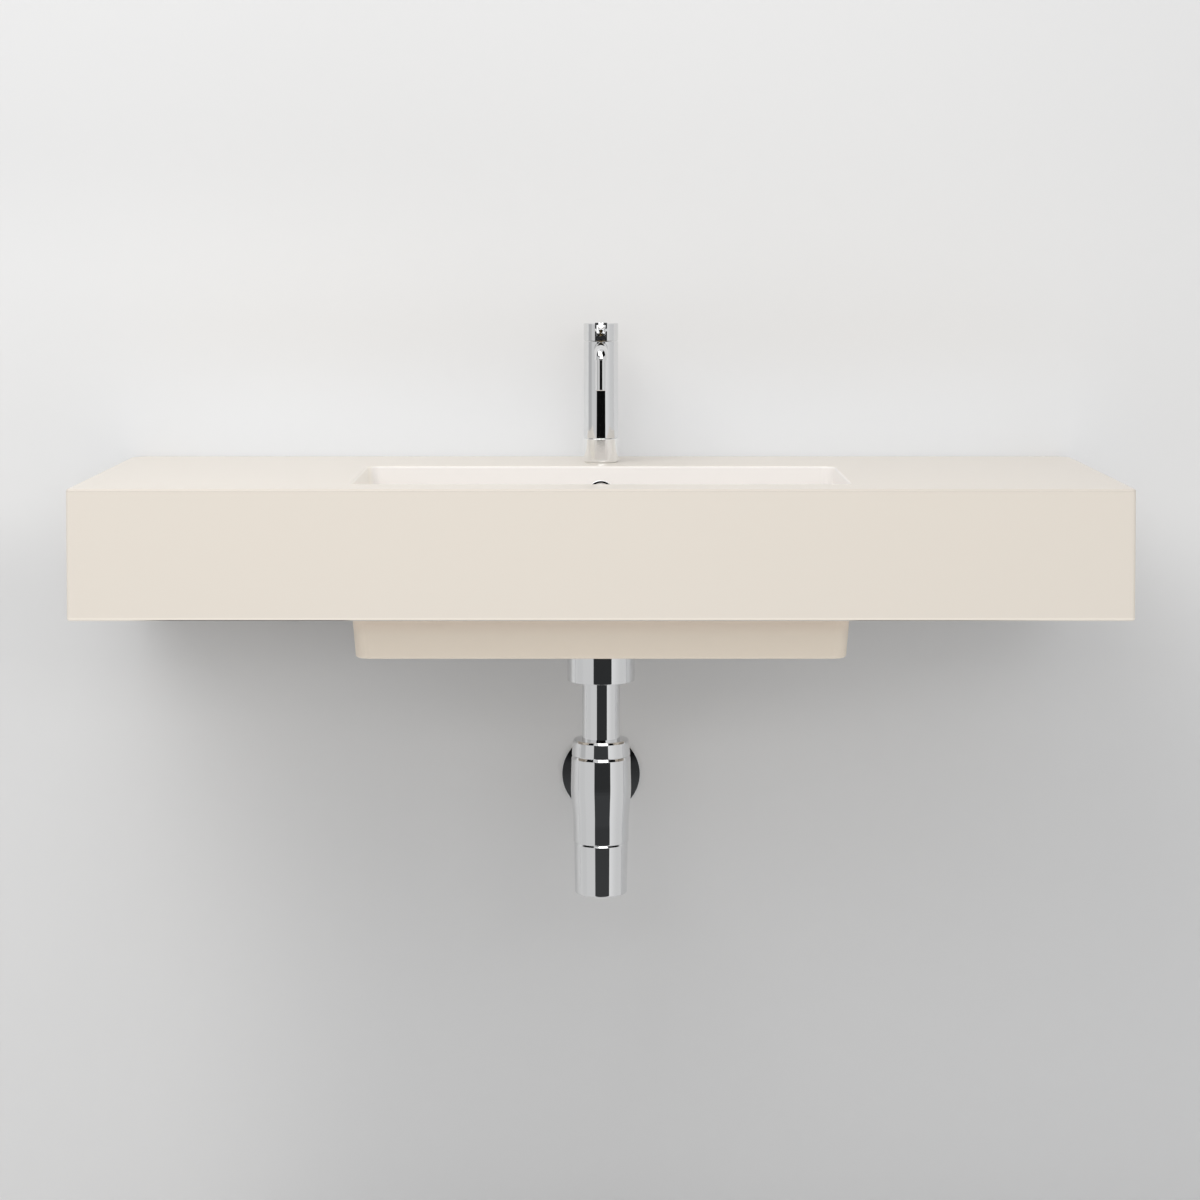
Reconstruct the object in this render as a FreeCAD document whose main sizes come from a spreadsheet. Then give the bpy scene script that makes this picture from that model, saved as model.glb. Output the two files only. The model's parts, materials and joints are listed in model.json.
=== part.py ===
"""Wall-hung ceramic washbasin with a column tap, a push-open waste and a bottle trap.

Millimetres. X runs from left to right, the front faces -Y, the wall is the plane y = 0 and Z is up.
The origin is the middle of the line between the two wall studs, in the plane of the wall.
"""

import FreeCAD, Part
import math
import os
import re

import Sketcher

V = FreeCAD.Vector

# Driving sizes, written once each. A name that ends in share is a ratio, and a count is a whole number
SIZES = {
    # Slab: the long block that hangs on the wall, open underneath
    "slab_width": 1250,
    "slab_height": 155,
    "deck_thick": 14,
    "apron_thick": 14,
    "back_thick": 16,
    "rear_corner_radius": 22,
    "front_corner_radius": 5,
    "edge_radius": 3,
    "hollow_radius": 10,
    # Bowl: a box that narrows downwards, with a dished floor
    "opening_width": 596,
    "opening_depth": 265,
    "opening_front": 66,
    "ledge_depth": 159,
    "bowl_depth": 175,
    "bowl_wall": 12.5,
    "bowl_lean_share": 0.0787,
    "bowl_radius": 16,
    "bowl_outer_radius": 18,
    "floor_thick": 35,
    "base_radius": 4,
    "dish_radius": 90,
    "dish_drop": 4,
    # Overflow: ring, hole and the channel inside the rear wall of the bowl
    "overflow_drop": 35.5,
    "overflow_hole_radius": 12,
    "channel_width": 60,
    "channel_deep": 12,
    "channel_above_hole": 3.5,
    "channel_skin": 8,
    "channel_base": 9,
    "channel_high": 10,
    "ring_radius": 17,
    "ring_thick": 1.6,
    "ring_spigot_radius": 10.6,
    "ring_spigot_long": 8,
    "ring_bore_radius": 9.4,
    # Holes in the ceramic
    "waste_hole_radius": 23,
    "recess_radius": 33,
    "recess_deep": 3,
    "tap_hole_radius": 17.5,
    "tap_back": 95,
    # Wall fixing
    "stud_drop": 85,
    "stud_spacing": 280,
    "stud_radius": 5,
    "stud_thread_radius": 4.6,
    "stud_in_wall": 60,
    "stud_point": 10,
    "stud_tip_radius": 1.5,
    "stud_past_nut": 8,
    "fixing_pad_width": 76,
    "fixing_pad_thick": 10,
    "fixing_hole_radius": 11,
    "bush_gap": 0.3,
    "bush_flange_radius": 17,
    "bush_flange_thick": 3,
    "washer_radius": 15,
    "washer_thick": 2.5,
    "nut_across": 17,
    "nut_thick": 8,
    # Waste in the floor of the bowl
    "waste_seal_thick": 2,
    "waste_seal_inner": 23.6,
    "flange_radius": 31.5,
    "flange_thick": 2.5,
    "flange_bevel": 1.2,
    "tail_radius": 20.95,
    "tail_bore_radius": 18.6,
    "tail_below_base": 30,
    "funnel_radius": 22.5,
    "funnel_deep": 3.5,
    "slot_count": 6,
    "slot_width": 9,
    "spider_below_base": 5,
    "spider_thick": 6,
    "spider_bar": 5,
    "spider_hub_radius": 7.5,
    "spider_bite": 1,
    "spider_hole_radius": 4,
    "under_seal_thick": 3,
    "under_seal_radius": 30,
    "backnut_radius": 29,
    "backnut_thick": 11,
    "backnut_flat_share": 0.93,
    "backnut_flat_count": 6,
    # Push-open plug and its click cartridge
    "click_radius": 8,
    "click_high": 29,
    "click_bore_radius": 4.06,
    "click_bore_deep": 25,
    "plug_radius": 29,
    "plug_rim": 2.2,
    "plug_crown": 4.6,
    "crown_outer_radius": 19.3,
    "crown_outer_high": 3.8,
    "crown_inner_radius": 9.7,
    "crown_inner_high": 4.4,
    "plug_stem_radius": 4,
    "plug_stem_in": 19,
    "plug_boss_radius": 15.8,
    "plug_seal_slack": 0.45,
    "seat_gap": 0.3,
    # Union between waste and trap, hidden by the collar
    "pipe_radius": 16,
    "pipe_wall": 1.2,
    "joint_seal_thick": 2,
    "pipe_flange_radius": 19.8,
    "pipe_flange_thick": 2,
    "union_radius": 26,
    "union_grip": 14,
    "union_lip": 4,
    "union_grip_count": 8,
    "union_grip_radius": 3,
    # Collar and sleeve that cover them
    "collar_radius": 41.75,
    "collar_wall": 2,
    "collar_high": 45,
    "collar_bevel": 0.8,
    "sleeve_radius": 23.5,
    "sleeve_wall": 1.5,
    "sleeve_in_collar": 6,
    "slide_gap": 0.2,
    "collar_ring_section": 3.2,
    # Bottle trap
    "sleeve_shown": 73,
    "head_high": 20,
    "head_top_radius": 34.6,
    "head_bottom_radius": 36.2,
    "head_plate": 4,
    "head_bevel": 0.8,
    "neck_radius": 27,
    "neck_bore_radius": 20,
    "neck_seal_thick": 2.5,
    "shoulder_radius": 36.3,
    "belly_radius": 37.4,
    "belly_below_head": 44,
    "waist_radius": 34.5,
    "waist_below_belly": 36,
    "trap_bottom_radius": 34.3,
    "foot_below_waist": 27,
    "trap_bore_radius": 30.5,
    "trap_top_wall": 4,
    "cup_radius": 33.4,
    "cup_base_radius": 32.2,
    "cup_high": 64.6,
    "cup_wall": 3,
    "cup_floor": 4,
    "cup_bevel": 1.5,
    "cup_step": 1,
    "cup_spigot_high": 9,
    "cup_seal_section": 2.6,
    "dip_in_cup": 39,
    # Outlet to the wall
    "outlet_below_head": 78,
    "outlet_socket_radius": 21,
    "outlet_socket_long": 56,
    "outlet_pipe_start": 38,
    "outlet_nut_radius": 26,
    "outlet_nut_long": 20,
    "outlet_in_wall": 50,
    "outlet_inner_radius": 15.6,
    "rosette_radius": 52.85,
    "rosette_deep": 9,
    "rosette_wall": 1.2,
    "rosette_neck": 6,
    "rosette_edge": 2,
    "rosette_rise": 5,
    "rosette_shoulder_radius": 42.3,
    # Tap: base, column, spout, cartridge
    "column_radius": 22.5,
    "base_high": 31.5,
    "base_bore_radius": 17,
    "seam_chamfer": 0.7,
    "foot_seal_thick": 1,
    "foot_seal_radius": 21.5,
    "foot_seal_inner": 18.5,
    "spigot_radius": 16.8,
    "spigot_deep": 8,
    "column_top": 157.5,
    "column_chamfer": 0.5,
    "cartridge_radius": 12.9,
    "cartridge_bore_radius": 13,
    "cartridge_long": 31,
    "shoulder_below_top": 8.5,
    "cartridge_boss_high": 7,
    "cartridge_boss_radius": 9,
    "cartridge_nut_radius": 13.92,
    "cartridge_thread_radius": 14,
    "cartridge_nut_high": 7.5,
    "cartridge_gap": 0.1,
    "mix_port_radius": 3.5,
    "mix_port_deep": 18,
    "mix_port_forward": 5,
    "feed_radius": 4.7,
    "waterway_radius": 3,
    "waterway_forward": 17.8,
    "inlet_radius": 4.5,
    "inlet_aside": 7.4,
    "inlet_back": 3,
    "inlet_long": 14,
    "inlet_mouth": 2,
    "foot_bore_radius": 14.2,
    "tap_stud_radius": 4,
    "tap_stud_aside": 10,
    "tap_stud_grip": 12,
    "tap_stud_below": 62,
    "thread_gap": 0.05,
    "spout_below_top": 8.5,
    "spout_radius": 8,
    "spout_bore_radius": 6,
    "spout_way_radius": 5.2,
    "spout_root": 20.5,
    "spout_root_gap": 0.2,
    "spout_stub_radius": 6.4,
    "spout_stub_long": 5,
    "spout_reach": 130,
    "spout_bend": 10,
    "nozzle_radius": 6.9,
    "nozzle_bore_radius": 5.6,
    "nozzle_throat_radius": 4.6,
    "nozzle_bevel": 0.6,
    "nozzle_long": 38.7,
    "nozzle_spigot_radius": 5.9,
    "nozzle_spigot_long": 6,
    "insert_radius": 5.5,
    "insert_thick": 8,
    "insert_lift": 0.8,
    "insert_hole_radius": 0.7,
    "insert_ring_radius": 3.4,
    "insert_hole_count": 9,
    # Fixing under the ledge
    "horseshoe_radius": 24,
    "horseshoe_slot": 27,
    "horseshoe_slot_back": 4,
    "rubber_thick": 3,
    "plate_thick": 3,
    "long_nut_across": 11,
    "long_nut_long": 18,
    # Handle: slotted cap, stem and the lever that tilts in the slot
    "cap_gap": 0.8,
    "cap_high": 22.7,
    "cap_bevel": 1,
    "cap_slot": 15.6,
    "cap_slot_back": 7.5,
    "cap_floor": 1.5,
    "carrier_radius": 11.6,
    "carrier_thick": 4.2,
    "carrier_gap": 0.1,
    "carrier_rise": 0.5,
    "stem_radius": 4.5,
    "stem_clearance": 0.08,
    "stem_in_cartridge": 8,
    "grub_radius": 2,
    "grub_inset": 1,
    "pivot_below_top": 9.5,
    "lever_hub_radius": 6.2,
    "lever_hub_width": 12,
    "lever_radius": 4.25,
    "lever_reach": 62,
    "lever_tilt_share": 0.1228,
    "lever_round": 1.4,
    "pivot_radius": 1.5,
    "pivot_clearance": 0.06,
    "pivot_bite": 3.2,
    "hexagon_side_count": 6,
    # How far each cut runs past the face that it opens
    "overrun": 2,
}

# Places and sizes that follow from the driving ones
PLACES = {
    "half_width": "slab_width / 2",
    "slab_depth": "ledge_depth + opening_depth + opening_front",
    "drain_back": "ledge_depth + opening_depth / 2",
    "base_depth": "bowl_depth + floor_thick",
    "inner_half": "opening_width / 2",
    "outer_half": "inner_half + bowl_wall",
    "base_lean": "bowl_lean_share * base_depth",
    "floor_lean": "bowl_lean_share * bowl_depth",
    "over_lean": "bowl_lean_share * overrun",
    "mouth_lean": "bowl_lean_share * deck_thick / 2",
    "outer_front": "slab_depth - opening_front + bowl_wall",
    "outer_back": "ledge_depth - bowl_wall",
    "casing_back": "ledge_depth - bowl_wall - channel_deep - channel_skin",
    "casing_width": "channel_width + 2 * channel_skin",
    "channel_low": "base_depth - channel_base",
    "channel_top": "overflow_drop - overflow_hole_radius - channel_above_hole",
    "recess_depth": "bowl_depth + dish_drop + recess_deep",
    "flange_low": "recess_depth - waste_seal_thick",
    "flange_top": "flange_low - flange_thick",
    "funnel_low": "flange_top + funnel_deep",
    "backnut_top": "base_depth + under_seal_thick",
    "plug_low": "flange_top - seat_gap",
    "tail_depth": "base_depth + tail_below_base",
    "spider_depth": "base_depth + spider_below_base",
    "click_depth": "spider_depth - click_high",
    "plug_stem_deep": "click_depth + plug_stem_in",
    "pipe_top": "tail_depth + joint_seal_thick",
    "union_shoulder": "pipe_top + pipe_flange_thick",
    "union_bottom": "union_shoulder + union_lip",
    "union_top_depth": "tail_depth - union_grip",
    "collar_bottom_depth": "base_depth + collar_high",
    "sleeve_top_depth": "collar_bottom_depth - sleeve_in_collar",
    "head_top_depth": "collar_bottom_depth + sleeve_shown",
    "head_bottom_depth": "head_top_depth + head_high",
    "belly_depth": "head_bottom_depth + belly_below_head",
    "waist_depth": "belly_depth + waist_below_belly",
    "trap_bottom_depth": "waist_depth + foot_below_waist",
    "cup_bottom_depth": "trap_bottom_depth + cup_high",
    "dip_depth": "trap_bottom_depth + dip_in_cup",
    "outlet_depth": "head_bottom_depth + outlet_below_head",
    "pipe_hole_radius": "pipe_radius + seat_gap",
    "pipe_bore": "pipe_radius - pipe_wall",
    "neck_top": "head_top_depth + head_plate + neck_seal_thick",
    "outlet_seal_end": "outlet_socket_long + neck_seal_thick",
    "outlet_nut_end": "outlet_seal_end + head_plate",
    "bush_inner": "stud_thread_radius + slide_gap",
    "wall_thick": "back_thick + fixing_pad_thick",
    "bush_low": "wall_thick + bush_flange_thick",
    "nut_start": "bush_low + washer_thick",
    "nut_end": "nut_start + nut_thick",
    "stud_end": "nut_end + stud_past_nut",
    "cartridge_shoulder": "column_top - shoulder_below_top",
    "cartridge_seat": "cartridge_shoulder - cartridge_long",
    "cartridge_top": "cartridge_shoulder + cartridge_boss_high",
    "cartridge_nut_top": "cartridge_shoulder + cartridge_nut_high",
    "mix_port_low": "cartridge_seat - mix_port_deep",
    "stem_bottom": "cartridge_shoulder - stem_in_cartridge",
    "cap_low": "column_top + cap_gap",
    "cap_top": "cap_low + cap_high",
    "lever_pivot_height": "cap_top - pivot_below_top",
    "carrier_low": "cap_low + carrier_rise",
    "carrier_top": "carrier_low + carrier_thick",
    "cap_seat": "carrier_top + seat_gap",
    "slot_floor": "cap_seat + cap_floor",
    "stem_top": "lever_pivot_height - lever_hub_radius - seat_gap",
    "spout_height": "column_top - spout_below_top",
    "spout_drop": "spout_height - spout_bend",
    "nozzle_bottom": "spout_drop - nozzle_long",
    "rubber_low": "deck_thick + rubber_thick",
    "plate_low": "rubber_low + plate_thick",
}

doc = FreeCAD.newDocument("washbasin")


def fill_sheet(name, cells, written):
    """A sheet with one row for each name: the name beside its value."""
    sheet = doc.addObject("Spreadsheet::Sheet", name)
    for row, (alias, content) in enumerate(cells.items(), start=1):
        sheet.set(f"A{row}", alias)
        sheet.set(f"B{row}", written(content))
        sheet.setAlias(f"B{row}", alias)
    return sheet


def full_names(formula, own=""):
    """The formula with each size's name written after the name of its sheet."""

    def full(match):
        word = match.group()
        if word in SIZES:
            return "Sizes." + word
        return "Places." + word if word in PLACES and own != "Places" else word

    return re.sub(r"[a-z][a-z_]+", full, formula)


sizes = fill_sheet("Sizes", SIZES, str)
places = fill_sheet("Places", PLACES, lambda formula: "=" + full_names(formula, "Places"))
doc.recompute()


def value(formula):
    """The number that a formula gives now."""
    return float(sizes.evalExpression(full_names(formula)))


def bind(thing, setting, formula):
    """Ties one setting of an object to a formula in the sheets' names."""
    thing.setExpression(setting, full_names(formula))


def new_body(label, back="0", height="0", aside="0"):
    """An empty body whose own frame stands at the named place."""
    body = doc.addObject("PartDesign::Body", label)
    body.Label = label
    for axis, formula in (("x", aside), ("y", back), ("z", height)):
        bind(body, f"Placement.Base.{axis}", formula)
    return body


def rotate(body, axis, angle):
    """Turns a body about an axis through its own origin by a named angle."""
    body.Placement.Rotation = FreeCAD.Rotation(axis, value(angle))
    bind(body, "Placement.Rotation.Angle", angle)


def basin_frame(label):
    """A body measured from the rim, in the middle of the wall side."""
    return new_body(label, height="stud_drop")


def drain_frame(label):
    """A body measured from the rim, on the axis of the waste and the trap."""
    return new_body(label, back="-drain_back", height="stud_drop")


def outlet_frame(label):
    """A body whose Y axis is the outlet pipe, measured from the axis of the trap."""
    return new_body(label, back="-drain_back", height="stud_drop - outlet_depth")


def tap_frame(label):
    """A body measured from the rim, on the axis of the column."""
    return new_body(label, back="-tap_back", height="stud_drop")


def sketch_on(body, role, name, offset="0"):
    """An empty sketch on one of the body's own origin planes, moved along its normal."""
    plane = next(f for f in body.Origin.OriginFeatures if f.Role == role)
    sketch = body.newObject("Sketcher::SketchObject", f"{body.Name}_{name}")
    sketch.AttachmentSupport = [(plane, "")]
    sketch.MapMode = "FlatFace"
    bind(sketch, "AttachmentOffset.Base.z", offset)
    return sketch


def hold(sketch, geometry, point, x, y):
    """Holds one point of a sketch at named distances from the sketch's origin. None leaves one free."""
    for kind, formula, axis in (("DistanceX", x, -2), ("DistanceY", y, -1)):
        if formula is None:
            continue
        if formula == "0":
            sketch.addConstraint(Sketcher.Constraint("PointOnObject", geometry, point, axis))
            continue
        rule = Sketcher.Constraint(kind, -1, 1, geometry, point, value(formula))
        bind(sketch, f"Constraints[{sketch.addConstraint(rule)}]", formula)


def draw_outline(sketch, corners):
    """A closed run of straight lines through the named corners."""
    points = [V(value(x), value(y), 0) for x, y in corners]
    first = sketch.GeometryCount
    count = len(corners)
    for k in range(count):
        sketch.addGeometry(Part.LineSegment(points[k], points[(k + 1) % count]), False)
    for k, (x, y) in enumerate(corners):
        after = first + (k + 1) % count
        sketch.addConstraint(Sketcher.Constraint("Coincident", first + k, 2, after, 1))
        hold(sketch, first + k, 1, x, y)
    return sketch


def draw_circle(sketch, radius, x="0", y="0"):
    """A circle of a named radius about a named centre."""
    circle = Part.Circle(V(value(x), value(y), 0), V(0, 0, 1), value(radius))
    place = sketch.addGeometry(circle, False)
    hold(sketch, place, 3, x, y)
    rule = sketch.addConstraint(Sketcher.Constraint("Radius", place, value(radius)))
    bind(sketch, f"Constraints[{rule}]", radius)
    return sketch


def draw_box(sketch, x_low, x_high, y_low, y_high):
    """A rectangle between named sides."""
    corners = [(x_low, y_low), (x_high, y_low), (x_high, y_high), (x_low, y_high)]
    return draw_outline(sketch, corners)


def draw_hexagon(sketch, across, x="0", y="0"):
    """A regular hexagon, given by the distance across its flats, with two corners on its X axis."""
    corners = []
    out = f"{across} / 2 / cos(180 deg / hexagon_side_count)"
    for k in range(int(value("hexagon_side_count"))):
        angle = f"360 deg * {k} / hexagon_side_count"
        corners.append((f"({x}) + {out} * cos({angle})", f"({y}) + {out} * sin({angle})"))
    return draw_outline(sketch, corners)


def extrude(body, sketch, name, kind, length, backwards=False):
    """A pad or a pocket of a named length. Backwards runs it against its usual way."""
    feature = body.newObject(f"PartDesign::{kind}", f"{body.Name}_{name}")
    feature.Profile = sketch
    feature.Reversed = backwards
    bind(feature, "Length", length)
    return feature


def turn(body, sketch, name, kind="Revolution", axis="V_Axis"):
    """A full turn of a sketch about one of its own axes, added or cut away."""
    feature = body.newObject(f"PartDesign::{kind}", f"{body.Name}_{name}")
    feature.Profile = sketch
    feature.ReferenceAxis = (sketch, [axis])
    feature.Angle = 360
    return feature


def loft(body, kind, name, sections):
    """A straight-sided loft through sketches, added or cut away."""
    feature = body.newObject(f"PartDesign::{kind}", f"{body.Name}_{name}")
    feature.Profile = sections[0]
    feature.Sections = sections[1:]
    feature.Ruled = True
    return feature


def around(body, feature, name, count):
    """Copies of a feature all round the vertical axis of the body."""
    pattern = body.newObject("PartDesign::PolarPattern", f"{body.Name}_{name}")
    pattern.Originals = [feature]
    axis = next(f for f in body.Origin.OriginFeatures if f.Role == "Z_Axis")
    pattern.Axis = (axis, [""])
    pattern.Angle = 360
    bind(pattern, "Occurrences", count)
    body.Tip = pattern
    return pattern


def both_sides(body, features):
    """The same features again, mirrored from the left to the right."""
    mirror = body.newObject("PartDesign::Mirrored", f"{body.Name}_both_sides")
    mirror.Originals = features
    plane = next(f for f in body.Origin.OriginFeatures if f.Role == "YZ_Plane")
    mirror.MirrorPlane = (plane, [""])
    body.Tip = mirror
    return mirror


def soften(body, name, size, choose, kind="Fillet"):
    """Rounds or bevels the chosen edges of what the body holds so far."""
    doc.recompute()
    base = body.Tip
    edges = [f"Edge{k}" for k, edge in enumerate(base.Shape.Edges, start=1) if choose(edge)]
    feature = body.newObject(f"PartDesign::{kind}", f"{body.Name}_{name}")
    feature.Base = (base, edges)
    bind(feature, "Radius" if kind == "Fillet" else "Size", size)
    return feature


# How close a measured place has to lie to the one looked for
NEAR = 0.05
# How far an edge may lean, as a share of its height, and still count as upright
LEAN_SHARE = 0.25


def near(number, formula):
    """Whether a measured number is what the formula gives."""
    return abs(number - value(formula)) < NEAR


def at_height(edge, formula):
    """Whether an edge lies flat at the named height of its body's frame."""
    box = edge.BoundBox
    return near(box.ZMin, formula) and near(box.ZMax, formula)


def ring_at(radius, height):
    """A test for a circle about the vertical axis, of a named radius and height."""

    def choose(edge):
        box = edge.BoundBox
        return at_height(edge, height) and near(box.XMax, radius) and near(-box.XMin, radius)

    return choose


def turned(body, profile):
    """A solid of revolution about Z from named corners, each a radius and a height."""
    sketch = draw_outline(sketch_on(body, "XZ_Plane", "profile"), profile)
    turn(body, sketch, "turned")
    return body


def turned_along_y(body, profile):
    """A solid of revolution about Y from named corners, each a distance along Y and a radius."""
    sketch = draw_outline(sketch_on(body, "YZ_Plane", "profile"), profile)
    turn(body, sketch, "turned", axis="H_Axis")
    return body


def tube(body, inner, outer, low, high):
    """A plain ring between two radii and two heights."""
    return turned(body, [(inner, low), (outer, low), (outer, high), (inner, high)])


def tube_along_y(body, inner, outer, start, end):
    """A plain ring between two radii and two distances along Y."""
    return turned_along_y(body, [(start, inner), (end, inner), (end, outer), (start, outer)])


def upright(edge):
    """Whether an edge runs straight up, or up the slight lean of the bowl."""
    box = edge.BoundBox
    rise = box.ZMax - box.ZMin
    return rise > value("deck_thick") and max(box.XMax - box.XMin, box.YMax - box.YMin) < rise * LEAN_SHARE


def basin_slab(body):
    """The block, with its corners rounded and the hollow underneath cut out."""
    foot = sketch_on(body, "XY_Plane", "foot", "-slab_height")
    draw_box(foot, "-half_width", "half_width", "-slab_depth", "0")
    extrude(body, foot, "block", "Pad", "slab_height")
    half = value("half_width")
    soften(body, "rear_corners", "rear_corner_radius", lambda e: upright(e) and near(e.BoundBox.YMax, "0"))

    def front_corner(edge):
        box = edge.BoundBox
        return upright(edge) and near(box.YMin, "-slab_depth") and near(abs(box.Center.x), "half_width")

    soften(body, "front_corners", "front_corner_radius", front_corner)
    hollow = draw_box(
        sketch_on(body, "XY_Plane", "hollow_plan", "-slab_height"),
        "apron_thick - half_width",
        "half_width - apron_thick",
        "apron_thick - slab_depth",
        "-back_thick",
    )
    extrude(body, hollow, "hollow", "Pocket", "slab_height - deck_thick", backwards=True)

    def inside_corner(edge):
        box = edge.BoundBox
        within = abs(box.Center.x) < half - value("apron_thick") / 2
        off_wall = -value("slab_depth - apron_thick / 2") < box.Center.y < -value("back_thick / 2")
        return within and off_wall and (upright(edge) or at_height(edge, "-deck_thick"))

    soften(body, "hollow_corners", "hollow_radius", inside_corner)


def basin_fixing_pads(body):
    """Two thicker places on the back, where the wall nuts bear."""
    pads = sketch_on(body, "XZ_Plane", "pads", "back_thick / 2")
    for side in ("-", ""):
        middle = f"{side}stud_spacing / 2"
        draw_box(
            pads,
            f"{middle} - fixing_pad_width / 2",
            f"{middle} + fixing_pad_width / 2",
            "-stud_drop - fixing_pad_width / 2",
            "-deck_thick / 2",
        )
    extrude(body, pads, "fixing_pads", "Pad", "back_thick / 2 + fixing_pad_thick")


def bowl_section(body, name, height, half, front, back):
    """A rectangle across the bowl at one height, between its front and its back."""
    sketch = sketch_on(body, "XY_Plane", name, height)
    return draw_box(sketch, f"-({half})", half, f"-({front})", f"-({back})")


def basin_bowl_outside(body):
    """The tapered box under the deck, its rounded edges and the casing of the overflow channel."""
    top = bowl_section(
        body,
        "outer_top",
        "-deck_thick / 2",
        "outer_half - mouth_lean",
        "outer_front - mouth_lean",
        "outer_back + mouth_lean",
    )
    foot = bowl_section(
        body,
        "outer_foot",
        "-base_depth",
        "outer_half - base_lean",
        "outer_front - base_lean",
        "outer_back + base_lean",
    )
    loft(body, "AdditiveLoft", "bowl_outside", [top, foot])

    def outer_corner(edge):
        box = edge.BoundBox
        return near(box.ZMin, "-base_depth") and upright(edge)

    soften(body, "bowl_corners", "bowl_outer_radius", outer_corner)
    casing = sketch_on(body, "YZ_Plane", "casing_side", "-casing_width / 2")
    draw_outline(
        casing,
        [
            ("-(casing_back + mouth_lean)", "-deck_thick / 2"),
            ("-(casing_back + base_lean)", "-base_depth"),
            ("-(outer_back + base_lean + bowl_wall)", "-base_depth"),
            ("-(outer_back + mouth_lean + bowl_wall / 2)", "-deck_thick / 2"),
        ],
    )
    extrude(body, casing, "casing", "Pad", "casing_width")
    soften(body, "base_edge", "base_radius", lambda e: at_height(e, "-base_depth"))


def basin_bowl_inside(body):
    """The bowl, its rounded corners, the dished floor and the hole for the waste."""
    mouth = bowl_section(
        body,
        "inner_mouth",
        "overrun",
        "inner_half + over_lean",
        "slab_depth - opening_front + over_lean",
        "ledge_depth - over_lean",
    )
    floor = bowl_section(
        body,
        "inner_floor",
        "-bowl_depth",
        "inner_half - floor_lean",
        "slab_depth - opening_front - floor_lean",
        "ledge_depth + floor_lean",
    )
    loft(body, "SubtractiveLoft", "bowl_inside", [mouth, floor])

    def inner_edge(edge):
        box = edge.BoundBox
        walls = near(box.ZMax, "0") and near(box.ZMin, "-bowl_depth") and upright(edge)
        return walls or at_height(edge, "-bowl_depth")

    soften(body, "bowl_rounding", "bowl_radius", inner_edge)
    drain = sketch_on(body, "XZ_Plane", "drain_profile", "drain_back")
    draw_outline(
        drain,
        [
            ("0", "-bowl_depth"),
            ("dish_radius", "-bowl_depth"),
            ("recess_radius", "-bowl_depth - dish_drop"),
            ("recess_radius", "-recess_depth"),
            ("waste_hole_radius", "-recess_depth"),
            ("waste_hole_radius", "-base_depth - overrun"),
            ("0", "-base_depth - overrun"),
        ],
    )
    turn(body, drain, "drain_cut", "Groove")


def basin_overflow(body):
    """The round hole and the channel that runs down the rear wall and forward to the waste."""
    hole = sketch_on(body, "XZ_Plane", "overflow_circle", "ledge_depth + channel_deep + overrun")
    draw_circle(hole, "overflow_hole_radius", "0", "-overflow_drop")
    extrude(body, hole, "overflow_hole", "Pocket", "bowl_wall + channel_deep + overrun * 2")
    wall_in = "-(outer_back - channel_deep + bowl_lean_share * "
    wall_out = "-(outer_back + bowl_lean_share * "
    roof = "channel_low - channel_high"
    side = sketch_on(body, "YZ_Plane", "channel_side", "-channel_width / 2")
    draw_outline(
        side,
        [
            (wall_in + "channel_top)", "-channel_top"),
            (wall_in + "channel_low)", "-channel_low"),
            ("-drain_back", "-channel_low"),
            ("-drain_back", f"-({roof})"),
            (wall_out + f"({roof}))", f"-({roof})"),
            (wall_out + "channel_top)", "-channel_top"),
        ],
    )
    extrude(body, side, "channel", "Pocket", "channel_width", backwards=True)


def basin_holes(body):
    """The tap hole in the ledge and the two holes for the wall studs."""
    tap = sketch_on(body, "XY_Plane", "tap_circle", "overrun")
    draw_circle(tap, "tap_hole_radius", "0", "-tap_back")
    extrude(body, tap, "tap_hole", "Pocket", "deck_thick + 2 * overrun")
    studs = sketch_on(body, "XZ_Plane", "stud_circles", "-overrun")
    for side in ("-", ""):
        draw_circle(studs, "fixing_hole_radius", f"{side}stud_spacing / 2", "-stud_drop")
    extrude(body, studs, "stud_holes", "Pocket", "wall_thick + 2 * overrun", backwards=True)


def basin_edges(body):
    """The small rounding of the glazed edges that a hand can touch."""

    def outer_rim(edge):
        box = edge.BoundBox
        top_or_foot = at_height(edge, "0") or at_height(edge, "-slab_height")
        side = near(abs(box.Center.x), "half_width")
        front = near(box.YMin, "-slab_depth")
        return top_or_foot and (side or front or corner_of_slab(box))

    def corner_of_slab(box):
        far = max(abs(box.XMin), abs(box.XMax))
        short = box.XMax - box.XMin <= value("rear_corner_radius") + NEAR
        return near(far, "half_width") and short

    def bowl_rim(edge):
        box = edge.BoundBox
        inside = abs(box.Center.x) < value("outer_half")
        held = -value("outer_front") < box.YMin and box.YMax < -value("outer_back")
        return at_height(edge, "0") and inside and held

    soften(body, "rim_rounding", "edge_radius", lambda e: outer_rim(e) or bowl_rim(e))


def make_basin():
    body = basin_frame("basin_body")
    basin_slab(body)
    basin_fixing_pads(body)
    basin_bowl_outside(body)
    basin_bowl_inside(body)
    basin_overflow(body)
    basin_holes(body)
    basin_edges(body)


def make_overflow_ring():
    """A chromed ring that leans with the rear wall of the bowl."""
    body = new_body(
        "overflow_ring",
        back="-(ledge_depth + bowl_lean_share * overflow_drop)",
        height="stud_drop - overflow_drop",
    )
    rotate(body, V(1, 0, 0), "90 deg - atan(bowl_lean_share)")
    turned(
        body,
        [
            ("ring_bore_radius", "-ring_spigot_long"),
            ("ring_spigot_radius", "-ring_spigot_long"),
            ("ring_spigot_radius", "0"),
            ("ring_radius", "0"),
            ("ring_radius", "ring_thick / 2"),
            ("ring_radius - ring_thick / 2", "ring_thick"),
            ("ring_bore_radius + ring_thick / 2", "ring_thick"),
            ("ring_bore_radius", "ring_thick / 2"),
        ],
    )


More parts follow.
